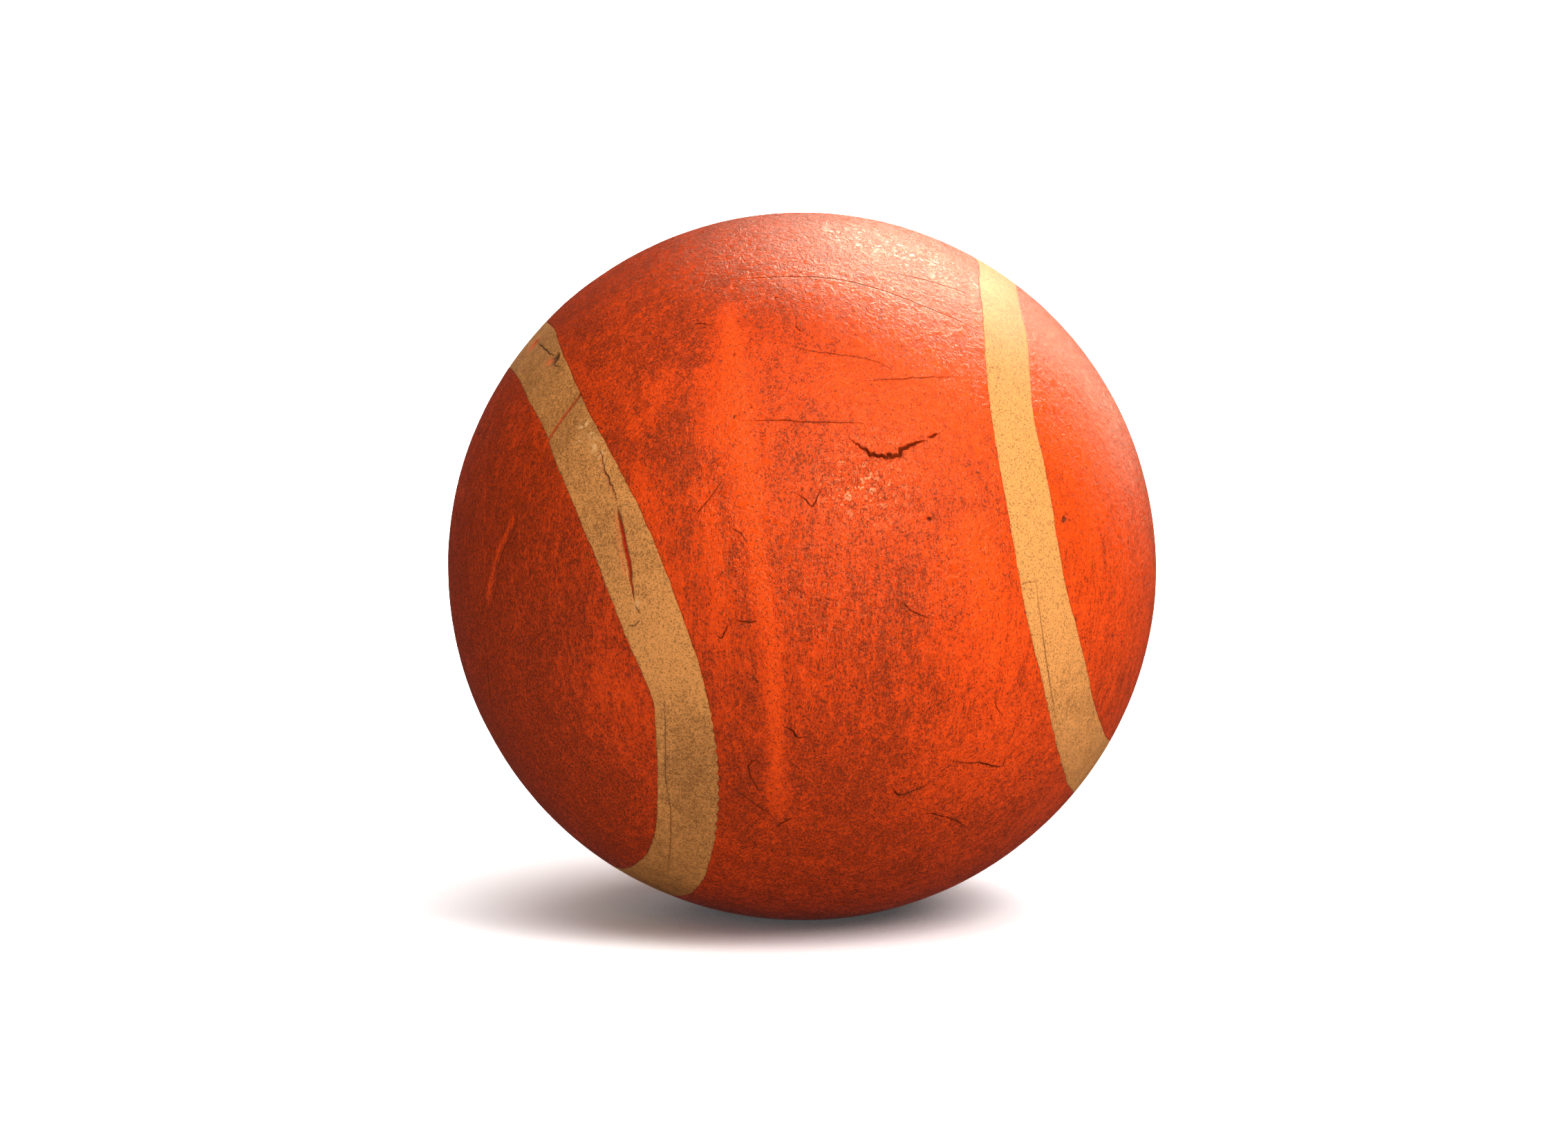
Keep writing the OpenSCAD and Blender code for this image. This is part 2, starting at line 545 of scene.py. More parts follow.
def nearest(
    points: np.ndarray, line: np.ndarray, radius: float
) -> tuple[np.ndarray, np.ndarray, np.ndarray]:
    """Where points lie beside an open line.

    Args:
        points: directions of the points.
        line: directions of the line's points.
        radius: radius that distances are measured at.

    Returns:
        Their distances to the line, the share of its length there, and the side (1 is left).
    """
    first = np.argmax(points @ line.T, axis=1)
    best = np.full(len(points), np.inf)
    share, side = np.zeros(len(points)), np.ones(len(points))
    for start in (first - 1, first):
        start = np.clip(start, 0, len(line) - 2)
        a, b = line[start], line[start + 1]
        step = b - a
        t = np.clip(np.sum((points - a) * step, 1) / np.sum(step * step, 1), 0, 1)
        gap = points - a - step * t[:, None]
        length = np.linalg.norm(gap, axis=1)
        closer = length < best
        best = np.where(closer, length, best)
        share = np.where(closer, (start + t) / (len(line) - 1), share)
        left = np.sign(np.sum(gap * np.cross(a, step), axis=1))
        side = np.where(closer, left, side)
    return best * radius, share, side


@dataclass(frozen=True)
class Patch:
    """A soft-edged patch of wear, or a dent or swelling of the skin."""

    at: AzEl
    reach: float
    amount: float
    kind: Wear | None = None
    stretch: float = 1.0
    lean: float = 0.0

    def value(self, points: np.ndarray, radius: float) -> np.ndarray:
        """The patch's strength.

        Args:
            points: directions of the skin's points.
            radius: radius of the skin.

        Returns:
            One value for each point.
        """
        middle = headings([self.at])[0]
        east = unit(np.cross(UP, middle))
        north = np.cross(middle, east)
        x, y = (points - middle) @ east * radius, (points - middle) @ north * radius
        c, s = math.cos(math.radians(self.lean)), math.sin(math.radians(self.lean))
        across, up = x * c + y * s, y * c - x * s
        shape = (across / self.reach) ** 2 + (up / self.reach / self.stretch) ** 2
        return self.amount * np.exp(-shape) * (points @ middle > 0)


@dataclass(frozen=True)
class Streak:
    """A band of wear along a route, or a ridge or furrow of the skin."""

    route: tuple[AzEl, ...]
    width: float
    amount: float
    kind: Wear | None = None

    STEP = 0.8
    FADE = 8

    def value(self, points: np.ndarray, radius: float) -> np.ndarray:
        """The streak's strength.

        Args:
            points: directions of the skin's points.
            radius: radius of the skin.

        Returns:
            One value for each point.
        """
        line = curved(self.route, self.STEP, radius)
        away, share, _ = nearest(points, line, radius)
        ends = np.clip(np.minimum(share, 1 - share) * self.FADE, 0, 1)
        return self.amount * np.exp(-((away / self.width) ** 2)) * ends


@dataclass
class Skin:
    """The worn outer skin of one piece: its heights, its wear and the points that they need."""

    shape: BallShape
    splits: list[Split] = field(default_factory=list)
    wear: list[Patch | Streak] = field(default_factory=list)
    relief: list[Patch | Streak] = field(default_factory=list)
    sunk: float = 0.05
    swells: tuple[tuple[float, float], ...] = ((11.0, 0.05), (3.2, 0.016), (0.9, 0.006))
    edge_drop: float = 0.03
    edge_round: float = 0.1
    edge_grime: float = 0.2
    edge_reach: float = 0.11
    first_seed: int = 40

    def rows(self) -> np.ndarray:
        """Points that the splits need."""
        return np.concatenate([split.rows(self.shape.radius) for split in self.splits])

    def finish(self, points: np.ndarray, to_edge: np.ndarray) -> tuple[np.ndarray, dict[Wear, np.ndarray]]:
        """Radii and wear of the skin's points.

        Args:
            points: their directions.
            to_edge: their distances from the piece's cut edge.

        Returns:
            Their radii, and each kind of wear from 0 to 1.
        """
        radius = self.shape.radius
        height = np.full(len(points), -self.sunk)
        for index, (size, swell) in enumerate(self.swells):
            height += swell * Grain(self.first_seed + index).at(points * radius, size)
        height = np.minimum(height, 0)
        for mark in self.relief:
            height += mark.value(points, radius)
        worn = {kind: np.zeros(len(points)) for kind in Wear}
        for mark in self.wear:
            worn[mark.kind] += mark.value(points, radius)
        for split in self.splits:
            lift, stains = split.marks(points, radius)
            height = np.minimum(height, height + lift) if split.lip == 0 else height + lift
            for kind, value in stains.items():
                worn[kind] = np.maximum(worn[kind], value)
        height -= self.edge_drop * np.clip(1 - to_edge / self.edge_round, 0, 1) ** 2
        rim = self.edge_grime * np.exp(-((to_edge / self.edge_reach) ** 2))
        worn[Wear.GRIME_AND_SHADE] = np.maximum(worn[Wear.GRIME_AND_SHADE], rim)
        return radius + height, {kind: np.clip(value, -1, 1) for kind, value in worn.items()}


# --- Closed solids --------------------------------------------------------------------


class Reach:
    """Distances to a set of directions."""

    def __init__(self, points: np.ndarray, radius: float) -> None:
        """Sorts the directions.

        Args:
            points: the directions.
            radius: radius that distances are measured at.
        """
        self.radius = radius
        self.tree = KDTree(len(points))
        for index, point in enumerate(points):
            self.tree.insert(point, index)
        self.tree.balance()

    def distance(self, points: np.ndarray) -> np.ndarray:
        """Distance from each of the points to the nearest of the set."""
        return np.array([self.tree.find(point)[2] for point in points]) * self.radius


def thinned(points: np.ndarray, cell: float, radius: float) -> np.ndarray:
    """Points without those that share a small cell with an earlier one."""
    _, kept = np.unique(np.floor(points * radius / cell).astype(int), axis=0, return_index=True)
    return points[np.sort(kept)]


@dataclass
class Sheet:
    """A triangulated patch of the sphere, bounded by closed lines."""

    points: np.ndarray
    faces: np.ndarray
    loops: list[np.ndarray]

    @classmethod
    def between(cls, loops: list[np.ndarray], fill: np.ndarray, front: AzEl) -> "Sheet":
        """Fills the space between closed lines with triangles.

        Args:
            loops: directions along each closed line.
            fill: directions of the points between them.
            front: middle of the flat chart, on the far side from what stays outside.

        Returns:
            The sheet, with each line's points in order.
        """
        given = np.concatenate([*loops, fill]) if len(fill) else np.concatenate(loops)
        pole = headings([front])[0]
        east = unit(np.cross(UP, pole))
        north = np.cross(pole, east)
        scale = 2 / (1 + given @ pole)
        chart = np.stack([given @ east * scale, given @ north * scale], axis=1)
        starts = np.cumsum([0] + [len(loop) for loop in loops])
        rings = [np.arange(a, b) for a, b in zip(starts, starts[1:])]
        edges = [(int(a), int(b)) for ring in rings for a, b in zip(ring, np.roll(ring, -1))]
        flat, out_edges, faces, origins, edge_origins, _ = delaunay_2d_cdt(
            [Vector(c) for c in chart], edges, [], 0, SAME_POINT, True
        )
        flat = np.array([tuple(c) for c in flat])
        faces = np.array(faces)
        walls = np.array([e for e, o in zip(out_edges, edge_origins) if o])
        faces = faces[cls.inside(flat, faces, walls, chart, edges)]
        spot = np.sum(flat * flat, axis=1)[:, None] / 4
        points = (flat[:, :1] * east + flat[:, 1:] * north + pole * (1 - spot)) / (1 + spot)
        place = np.zeros(len(given), int)
        for index, sources in enumerate(origins):
            for source in sources:
                place[source] = index
                points[index] = given[source]
        used, number = np.unique(faces, return_inverse=True)
        slot = np.full(len(points), -1)
        slot[used] = np.arange(len(used))
        return cls(unit(points[used]), number.reshape(-1, 3), [slot[place[ring]] for ring in rings])

    @staticmethod
    def inside(
        flat: np.ndarray,
        faces: np.ndarray,
        walls: np.ndarray,
        chart: np.ndarray,
        edges: list[tuple[int, int]],
    ) -> np.ndarray:
        """Which triangles lie between the lines.

        Args:
            flat: the triangulation's points.
            faces: its triangles.
            walls: its edges that lie on a line.
            chart: the points that were given.
            edges: the lines' own edges among them.

        Returns:
            True for each triangle that an odd number of lines encloses.
        """
        count = len(flat) + 1
        sides = np.sort(np.concatenate([faces[:, [0, 1]], faces[:, [1, 2]], faces[:, [2, 0]]]), axis=1)
        keys = sides[:, 0] * count + sides[:, 1]
        owners = np.tile(np.arange(len(faces)), 3)
        walls = np.sort(walls, axis=1)
        free = ~np.isin(keys, walls[:, 0] * count + walls[:, 1])
        keys, owners = keys[free], owners[free]
        order = np.argsort(keys, kind="stable")
        keys, owners = keys[order], owners[order]
        shared = np.flatnonzero(keys[1:] == keys[:-1])
        a, b = owners[shared], owners[shared + 1]
        label = np.arange(len(faces))
        while True:
            low = np.minimum(label[a], label[b])
            before = label.copy()
            np.minimum.at(label, label[a], low)
            np.minimum.at(label, label[b], low)
            label = label[label]
            if np.array_equal(before, label):
                break
        corner = flat[faces]
        step, other = corner[:, 1] - corner[:, 0], corner[:, 2] - corner[:, 0]
        area = np.abs(step[:, 0] * other[:, 1] - step[:, 1] * other[:, 0])
        starts, ends = chart[[e[0] for e in edges]], chart[[e[1] for e in edges]]
        keep = np.zeros(len(faces), bool)
        for name in np.unique(label):
            members = np.flatnonzero(label == name)
            x, y = corner[members[np.argmax(area[members])]].mean(axis=0)
            spans = (starts[:, 1] > y) != (ends[:, 1] > y)
            s, e = starts[spans], ends[spans]
            crossing = s[:, 0] + (y - s[:, 1]) / (e[:, 1] - s[:, 1]) * (e[:, 0] - s[:, 0])
            keep[members] = np.sum(crossing > x) % 2 == 1
        return keep


@dataclass
class Solid:
    """A closed solid, put together from sheets and the walls between them."""

    points: list[np.ndarray] = field(default_factory=list)
    faces: list[np.ndarray] = field(default_factory=list)
    wear: dict[Wear, list[np.ndarray]] = field(default_factory=lambda: {kind: [] for kind in Wear})
    count: int = 0

    def add(self, points: np.ndarray, faces: np.ndarray, wear: dict[Wear, np.ndarray | float]) -> int:
        """Adds a sheet.

        Args:
            points: its points.
            faces: its triangles.
            wear: each kind of wear on it.

        Returns:
            The number of its first point.
        """
        start = self.count
        self.points.append(points)
        self.faces.append(faces + start)
        for kind in Wear:
            self.wear[kind].append(np.broadcast_to(wear.get(kind, 0.0), len(points)))
        self.count += len(points)
        return start

    def wall(self, upper: np.ndarray, lower: np.ndarray) -> None:
        """Joins two lines of as many points.

        Args:
            upper: numbers of the outer line's points, with the solid on its left.
            lower: numbers of the inner line's points.
        """
        over, under = np.roll(upper, -1), np.roll(lower, -1)
        self.faces.append(np.stack([upper, lower, under], axis=1))
        self.faces.append(np.stack([upper, under, over], axis=1))

    def make(self, name: str, shape: BallShape, sharp: float) -> bpy.types.Object:
        """Makes the object.

        Args:
            name: the piece's name.
            shape: the ball that it belongs to.
            sharp: edges that turn more than this many degrees stay sharp.

        Returns:
            The object, with its wear as attributes.
        """
        points = np.concatenate(self.points) + UP * shape.centre_z
        faces = np.concatenate(self.faces)
        low, high = (np.array(corner) / MM for corner in CAD_BOX)
        points[:, 2] = SOFT_FLOOR * np.logaddexp(0, points[:, 2] / SOFT_FLOOR)
        points = np.clip(points, low, high)
        mesh = bpy.data.meshes.new(name)
        mesh.vertices.add(len(points))
        mesh.vertices.foreach_set("co", (points * MM).ravel())
        mesh.loops.add(faces.size)
        mesh.loops.foreach_set("vertex_index", faces.ravel())
        mesh.polygons.add(len(faces))
        mesh.polygons.foreach_set("loop_start", np.arange(0, faces.size, 3))
        mesh.update(calc_edges=True)
        mesh.validate()
        for kind, parts in self.wear.items():
            attribute = mesh.attributes.new(kind.value, "FLOAT", "POINT")
            attribute.data.foreach_set("value", np.concatenate(parts).astype(np.float32))
        mesh.shade_smooth()
        mesh.set_sharp_from_angle(angle=math.radians(sharp))
        piece = bpy.data.objects.new(name, mesh)
        bpy.context.scene.collection.objects.link(piece)
        return piece


# --- Shader building ------------------------------------------------------------------


class Graph:
    """Adds nodes to a shader tree and joins them."""

    def __init__(self, tree: Tree) -> None:
        """Starts on a tree.

        Args:
            tree: the tree that the nodes go into.
        """
        self.tree = tree

    def node(self, kind: str, inputs: dict | None = None, **settings: object) -> bpy.types.Node:
        """Adds a node.

        Args:
            kind: the node's type.
            inputs: a value or a link for each named input.
            **settings: the node's own settings.

        Returns:
            The node.
        """
        made = self.tree.nodes.new(kind)
        for name, value in settings.items():
            setattr(made, name, value)
        for name, value in (inputs or {}).items():
            self.feed(made.inputs[name], value)
        return made

    def feed(self, socket: Socket, value: object) -> None:
        """Links a socket to another one, or sets its value.

        Args:
            socket: the socket.
            value: the other socket, or a plain value.
        """
        if isinstance(value, Socket):
            self.tree.links.new(value, socket)
        else:
            socket.default_value = value

    def math(self, operation: str, a: object, b: object = 0.0) -> Socket:
        """The result of one sum on two values."""
        return self.node("ShaderNodeMath", {0: a, 1: b}, operation=operation).outputs[0]

    def plus(self, a: object, b: object) -> Socket:
        """The sum of two values."""
        return self.math("ADD", a, b)

    def minus(self, a: object, b: object) -> Socket:
        """One value less another."""
        return self.math("SUBTRACT", a, b)

    def times(self, a: object, b: object) -> Socket:
        """The product of two values."""
        return self.math("MULTIPLY", a, b)

    def between(self, value: object, low: object, high: object) -> Socket:
        """0 below low, 1 above high, and a smooth rise between them."""
        ends = {"Value": value, "From Min": low, "From Max": high}
        return self.node("ShaderNodeMapRange", ends, interpolation_type="SMOOTHSTEP").outputs["Result"]

    def mix(self, share: object, a: object, b: object) -> Socket:
        """One colour laid over another.

        Args:
            share: how much of the upper one shows.
            a: the lower colour.
            b: the upper colour.

        Returns:
            The colour.
        """
        made = self.node("ShaderNodeMix", {0: share}, data_type="RGBA")
        self.feed(made.inputs[6], a)
        self.feed(made.inputs[7], b)
        return made.outputs[2]

    def noise(self, place: object, fineness: object, detail: float = 2.0, rough: float = 0.5) -> Socket:
        """Noise with that many lumps to a unit of the place."""
        inputs = {"Vector": place, "Scale": fineness, "Detail": detail, "Roughness": rough}
        return self.node("ShaderNodeTexNoise", inputs).outputs["Fac"]

    def scaled(self, place: object, factors: tuple[float, float, float], offset: float = 0.0) -> Socket:
        """Coordinates scaled along X, Y and Z, and moved."""
        inputs = {"Vector": place, "Scale": factors, "Location": (offset,) * 3}
        return self.node("ShaderNodeMapping", inputs).outputs["Vector"]

    def moved(self, place: object, offset: float) -> Socket:
        """Coordinates moved, so that a noise on them is another one."""
        return self.scaled(place, (1.0, 1.0, 1.0), offset)

    def bumped(self, height: object, strength: float, depth: float) -> Socket:
        """The normal of a surface with that relief, its depth in millimetres."""
        inputs = {"Height": height, "Strength": strength, "Distance": depth * MM}
        return self.node("ShaderNodeBump", inputs).outputs["Normal"]

    def place(self) -> Socket:
        """The surface's place in the frame, in millimetres."""
        coordinates = self.node("ShaderNodeTexCoord").outputs["Object"]
        return self.scaled(coordinates, (1 / MM,) * 3)

    def worn(self, kind: Wear) -> Socket:
        """The mesh's own wear of one kind."""
        return self.node("ShaderNodeAttribute", attribute_name=kind.value).outputs["Fac"]


@dataclass(frozen=True)
class Effects:
    """The shader node groups that the finishes share."""

    specks: Tree
    blotches: Tree
    pores: Tree
    fill: Tree

    @staticmethod
    def group(name: str, inputs: dict[str, tuple[str, object]], outputs: dict[str, str]) -> tuple:
        """Starts a node group.

        Args:
            name: the group's name.
            inputs: socket type and default of each named input.
            outputs: socket type of each named output.

        Returns:
            The tree, a graph on it, its input sockets and its output node.
        """
        tree = bpy.data.node_groups.new(name, "ShaderNodeTree")
        for label, (kind, default) in inputs.items():
            socket = tree.interface.new_socket(name=label, in_out="INPUT", socket_type=kind)
            if default is not None:
                socket.default_value = default
        for label, kind in outputs.items():
            tree.interface.new_socket(name=label, in_out="OUTPUT", socket_type=kind)
        graph = Graph(tree)
        return tree, graph, graph.node("NodeGroupInput").outputs, graph.node("NodeGroupOutput")

    @classmethod
    def build(cls) -> "Effects":
        """Builds every shared group once."""
        return cls(cls.speck_group(), cls.blotch_group(), cls.pore_group(), cls.fill_group())

    @classmethod
    def speck_group(cls) -> Tree:
        """Small dark specks of ground-in dirt, as a mask.

        Returns:
            The group.
        """
        tree, graph, given, out = cls.group(
            "Dirt specks",
            {
                "Place": ("NodeSocketVector", None),
                "Fineness": ("NodeSocketFloat", 4.0),
                "Cover": ("NodeSocketFloat", 0.2),
                "Softness": ("NodeSocketFloat", 0.08),
            },
            {"Mask": "NodeSocketFloat"},
        )
        fine = graph.noise(given["Place"], given["Fineness"], 2.0, 0.6)
        level = graph.minus(0.78, graph.times(given["Cover"], 0.4))
        edge = graph.plus(level, given["Softness"])
        graph.feed(out.inputs["Mask"], graph.between(fine, level, edge))
        return tree

    @classmethod
    def blotch_group(cls) -> Tree:
        """Uneven patches where the surface is cleaner or dirtier, as a value around 0.

        Returns:
            The group.
        """
        tree, graph, given, out = cls.group(
            "Blotches",
            {
                "Place": ("NodeSocketVector", None),
                "Large": ("NodeSocketFloat", 0.1),
                "Middle": ("NodeSocketFloat", 0.5),
                "Small": ("NodeSocketFloat", 2.0),
            },
            {"Value": "NodeSocketFloat"},
        )
        total: object = 0.0
        for label, detail, share in (("Large", 3.0, 0.6), ("Middle", 5.0, 0.9), ("Small", 4.0, 1.4)):
            noise = graph.noise(given["Place"], given[label], detail, 0.62)
            part = graph.times(graph.minus(noise, 0.5), share)
            total = graph.plus(total, part)
        graph.feed(out.inputs["Value"], total)
        return tree

    @classmethod
    def pore_group(cls) -> Tree:
        """Rubber's fine orange peel, pinholes and wrinkles, as a height.

        Returns:
            The group.
        """
        tree, graph, given, out = cls.group(
            "Pores",
            {
                "Place": ("NodeSocketVector", None),
                "Fineness": ("NodeSocketFloat", 3.0),
                "Wrinkles": ("NodeSocketFloat", 0.5),
            },
            {"Height": "NodeSocketFloat"},
        )
        place, fineness = given["Place"], given["Fineness"]
        peel = graph.noise(place, fineness, 4.0, 0.6)
        cells = graph.node("ShaderNodeTexVoronoi", {"Vector": place, "Scale": graph.times(fineness, 0.4)})
        pits = graph.between(cells.outputs["Distance"], 0.0, 0.16)
        folds = graph.noise(place, graph.times(fineness, 0.22), 5.0, 0.65)
        slack = graph.math("ABSOLUTE", graph.minus(folds, 0.5))
        wrinkles = graph.times(graph.between(slack, 0.0, 0.11), given["Wrinkles"])
        height = graph.plus(peel, graph.times(pits, 0.5))
        graph.feed(out.inputs["Height"], graph.plus(height, wrinkles))
        return tree

    @classmethod
    def fill_group(cls) -> Tree:
        """Dirt packed into cracks and seams, painted shade where the grime mask carries it, and torn rubber
        beside them, over a colour.

        Returns:
            The group.
        """
        tree, graph, given, out = cls.group(
            "Crack dirt and painted shade",
            {
                "Colour": ("NodeSocketColor", (0.8, 0.1, 0.02, 1)),
                "Dirt": ("NodeSocketColor", (0.05, 0.015, 0.008, 1)),
                "Fresh": ("NodeSocketColor", (0.95, 0.25, 0.12, 1)),
                "Grime": ("NodeSocketFloat", 0.0),
                "Torn": ("NodeSocketFloat", 0.0),
            },
            {"Colour": "NodeSocketColor"},
        )
        # The grime mask lays the dirt colour as dirt in cracks and along edges, and as painted shade where it
        # carries shade.
        dirty = graph.mix(graph.times(given["Grime"], 0.95), given["Colour"], given["Dirt"])
        graph.feed(out.inputs["Colour"], graph.mix(given["Torn"], dirty, given["Fresh"]))
        return tree


def use(graph: Graph, tree: Tree, **inputs: object) -> Socket:
    """Places a shared group in a material.

    Args:
        graph: the material's graph.
        tree: the group.
        **inputs: a value or a link for each of its inputs.

    Returns:
        Its first output.
    """
    made = graph.node("ShaderNodeGroup")
    made.node_tree = tree
    for name, value in inputs.items():
        graph.feed(made.inputs[name], value)
    return made.outputs[0]


def new_material(name: str) -> tuple[bpy.types.Material, Graph]:
    """Starts a material.

    Args:
        name: the material's name.

    Returns:
        The empty material, and a graph on its tree.
    """
    material = bpy.data.materials.new(name)
    material.use_nodes = True
    material.node_tree.nodes.clear()
    return material, Graph(material.node_tree)


def close(graph: Graph, surface: dict[str, object]) -> None:
    """Ends a material in a Principled BSDF with these inputs."""
    shader = graph.node("ShaderNodeBsdfPrincipled", surface)
    graph.node("ShaderNodeOutputMaterial", {"Surface": shader.outputs[0]})


def rgb(r: float, g: float, b: float) -> Colour:
    """An opaque colour."""
    return (r, g, b, 1.0)


def with_cracks(graph: Graph, effects: Effects, colour: Socket, dirt: Colour, fresh: Colour) -> Socket:
    """Lays the dirt in cracks, the painted shade that shares its mask and colour, and the torn rubber beside
    them, over a colour.

    Args:
        graph: the material's graph.
        effects: the shared groups.
        colour: the colour.
        dirt: colour of the dirt, and of the painted shade.
        fresh: colour of the torn rubber.

    Returns:
        The colour with both.
    """
    grime, torn = graph.worn(Wear.GRIME_AND_SHADE), graph.worn(Wear.TORN)
    return use(graph, effects.fill, Colour=colour, Dirt=dirt, Fresh=fresh, Grime=grime, Torn=torn)


@dataclass(frozen=True)
class CoverRubber:
    """The cover's orange-red moulded rubber, under a worn brown veil of dirt."""

    bright: Colour = rgb(0.95, 0.080, 0.005)
    clean: Colour = rgb(0.82, 0.064, 0.004)
    veiled: Colour = rgb(0.52, 0.042, 0.003)
    # The dirt colour also paints the shade on the ledge under the strip.
    dirt: Colour = rgb(0.13, 0.018, 0.003)
    bloom: Colour = rgb(0.60, 0.20, 0.11)
    fresh: Colour = rgb(0.95, 0.13, 0.03)
    roughness: float = 0.08
    patchiness: float = 0.36
    patch_size: float = 0.7
    specular: float = 0.18
    blotched: float = 0.8
    brushed: float = 1.25
    veil_ends: tuple[float, float] = (-0.36, 0.55)
    shine_ends: tuple[float, float] = (-0.75, -0.15)
    dirt_strength: float = 0.78
    bloom_strength: float = 0.5
    bump: float = 0.42
    bump_depth: float = 0.05

    def material(self, effects: Effects) -> bpy.types.Material:
        """Builds the finish.

        Args:
            effects: the shared groups.

        Returns:
            The material.
        """
        material, graph = new_material("Cover rubber")
        place = graph.place()
        upright = graph.scaled(place, (1.0, 1.0, 0.22))
        blotch = use(graph, effects.blotches, Place=place, Large=0.085, Middle=0.45, Small=2.2)
        strokes = use(graph, effects.blotches, Place=upright, Large=0.3, Middle=1.2, Small=4.2)
        film = graph.plus(graph.times(blotch, self.blotched), graph.times(strokes, self.brushed))
        film = graph.plus(film, graph.worn(Wear.VEIL))
        film = graph.minus(film, graph.worn(Wear.RUBBED))
        veil = graph.between(film, *self.veil_ends)
        shine = graph.minus(1.0, graph.between(film, *self.shine_ends))
        colour = graph.mix(veil, self.clean, self.veiled)
        colour = graph.mix(shine, colour, self.bright)
        specks = self.specks(graph, effects, place, veil)
        colour = graph.mix(graph.times(specks, self.dirt_strength), colour, self.dirt)
        colour = with_cracks(graph, effects, colour, self.dirt, self.fresh)
        spots = use(graph, effects.specks, Place=place, Fineness=2.6, Cover=0.02, Softness=0.02)
        pale = graph.between(spots, 0.0, 1.0)
        colour = graph.mix(graph.times(pale, self.bloom_strength), colour, self.bloom)
        pores = use(graph, effects.pores, Place=place, Fineness=3.4, Wrinkles=2.8)
        height = graph.minus(pores, graph.times(specks, 0.5))
        patchy = graph.times(graph.noise(place, 1 / self.patch_size, 5.0, 0.65), self.patchiness)
        rough = graph.plus(graph.plus(self.roughness, patchy), graph.times(veil, 0.06))
        rough = graph.plus(rough, graph.times(specks, 0.15))
        close(
            graph,
            {
                "Base Color": colour,
                "Roughness": rough,
                "Normal": graph.bumped(height, self.bump, self.bump_depth),
                "Specular IOR Level": self.specular,
            },
        )
        return material

    def specks(self, graph: Graph, effects: Effects, place: Socket, veil: Socket) -> Socket:
        """Ground-in dirt as grains, upright dashes and a few pits, denser where the veil is.

        Args:
            graph: the material's graph.
            effects: the shared groups.
            place: the surface's place.
            veil: how veiled it is.

        Returns:
            A mask of the dirt.
        """
        cover = graph.plus(graph.times(veil, 0.18), 0.46)
        upright = graph.scaled(place, (1.0, 1.0, 0.3), 7.0)
        apart = graph.moved(place, 19.0)
        grains = use(graph, effects.specks, Place=place, Fineness=5.6, Cover=cover, Softness=0.05)
        dashes = use(graph, effects.specks, Place=upright, Fineness=7.5, Cover=cover, Softness=0.05)
        pits = use(graph, effects.specks, Place=apart, Fineness=2.4, Cover=0.24, Softness=0.03)
        return graph.math("MAXIMUM", graph.math("MAXIMUM", grains, dashes), pits)


@dataclass(frozen=True)
class StripRubber:
    """The strip's ochre rubber, dull and freckled with dirt."""

    clean: Colour = rgb(0.84, 0.335, 0.085)
    browned: Colour = rgb(0.53, 0.20, 0.046)
    # The dirt colour also paints the shadow inside the torn hole.
    dirt: Colour = rgb(0.12, 0.046, 0.012)
    pale: Colour = rgb(0.86, 0.46, 0.18)
    fresh: Colour = rgb(0.95, 0.15, 0.04)
    roughness: float = 0.46
    specular: float = 0.2
    veil_ends: tuple[float, float] = (-0.4, 0.7)
    crumb_size: float = 0.42
    crumb_ends: tuple[float, float] = (0.47, 0.56)
    dirt_strength: float = 0.62
    dust_strength: float = 0.7
    bump: float = 0.4
    bump_depth: float = 0.05

    def material(self, effects: Effects) -> bpy.types.Material:
        """Builds the finish.

        Args:
            effects: the shared groups.

        Returns:
            The material.
        """
        material, graph = new_material("Strip rubber")
        place = graph.place()
        apart = graph.moved(place, 31.0)
        blotch = use(graph, effects.blotches, Place=apart, Large=0.12, Middle=0.5, Small=2.4)
        film = graph.plus(blotch, graph.worn(Wear.VEIL))
        film = graph.minus(film, graph.worn(Wear.RUBBED))
        veil = graph.between(film, *self.veil_ends)
        colour = graph.mix(veil, self.clean, self.browned)
        specks = self.specks(graph, effects, place, veil)
        colour = graph.mix(graph.times(specks, self.dirt_strength), colour, self.dirt)
        crumbs = graph.between(graph.noise(place, 1 / self.crumb_size, 3.0), *self.crumb_ends)
        colour = graph.mix(graph.times(graph.worn(Wear.FLAKE), crumbs), colour, self.pale)
        colour = with_cracks(graph, effects, colour, self.dirt, self.fresh)
        pores = use(graph, effects.pores, Place=place, Fineness=4.5)
        height = graph.minus(pores, graph.times(specks, 0.6))
        close(
            graph,
            {
                "Base Color": colour,
                "Roughness": graph.plus(self.roughness, graph.times(veil, 0.12)),
                "Normal": graph.bumped(height, self.bump, self.bump_depth),
                "Specular IOR Level": self.specular,
            },
        )
        return material

    def specks(self, graph: Graph, effects: Effects, place: Socket, veil: Socket) -> Socket:
        """Ground-in dirt as grains and a finer dust, denser where the veil is.

        Args:
            graph: the material's graph.
            effects: the shared groups.
            place: the surface's place.
            veil: how veiled it is.

        Returns:
            A mask of the dirt.
        """
        cover = graph.plus(graph.times(veil, 0.18), 0.56)
        apart = graph.moved(place, 11.0)
        grains = use(graph, effects.specks, Place=place, Fineness=5.4, Cover=cover, Softness=0.05)
        dust = use(graph, effects.specks, Place=apart, Fineness=8.5, Cover=cover, Softness=0.08)
        return graph.math("MAXIMUM", grains, graph.times(dust, self.dust_strength))


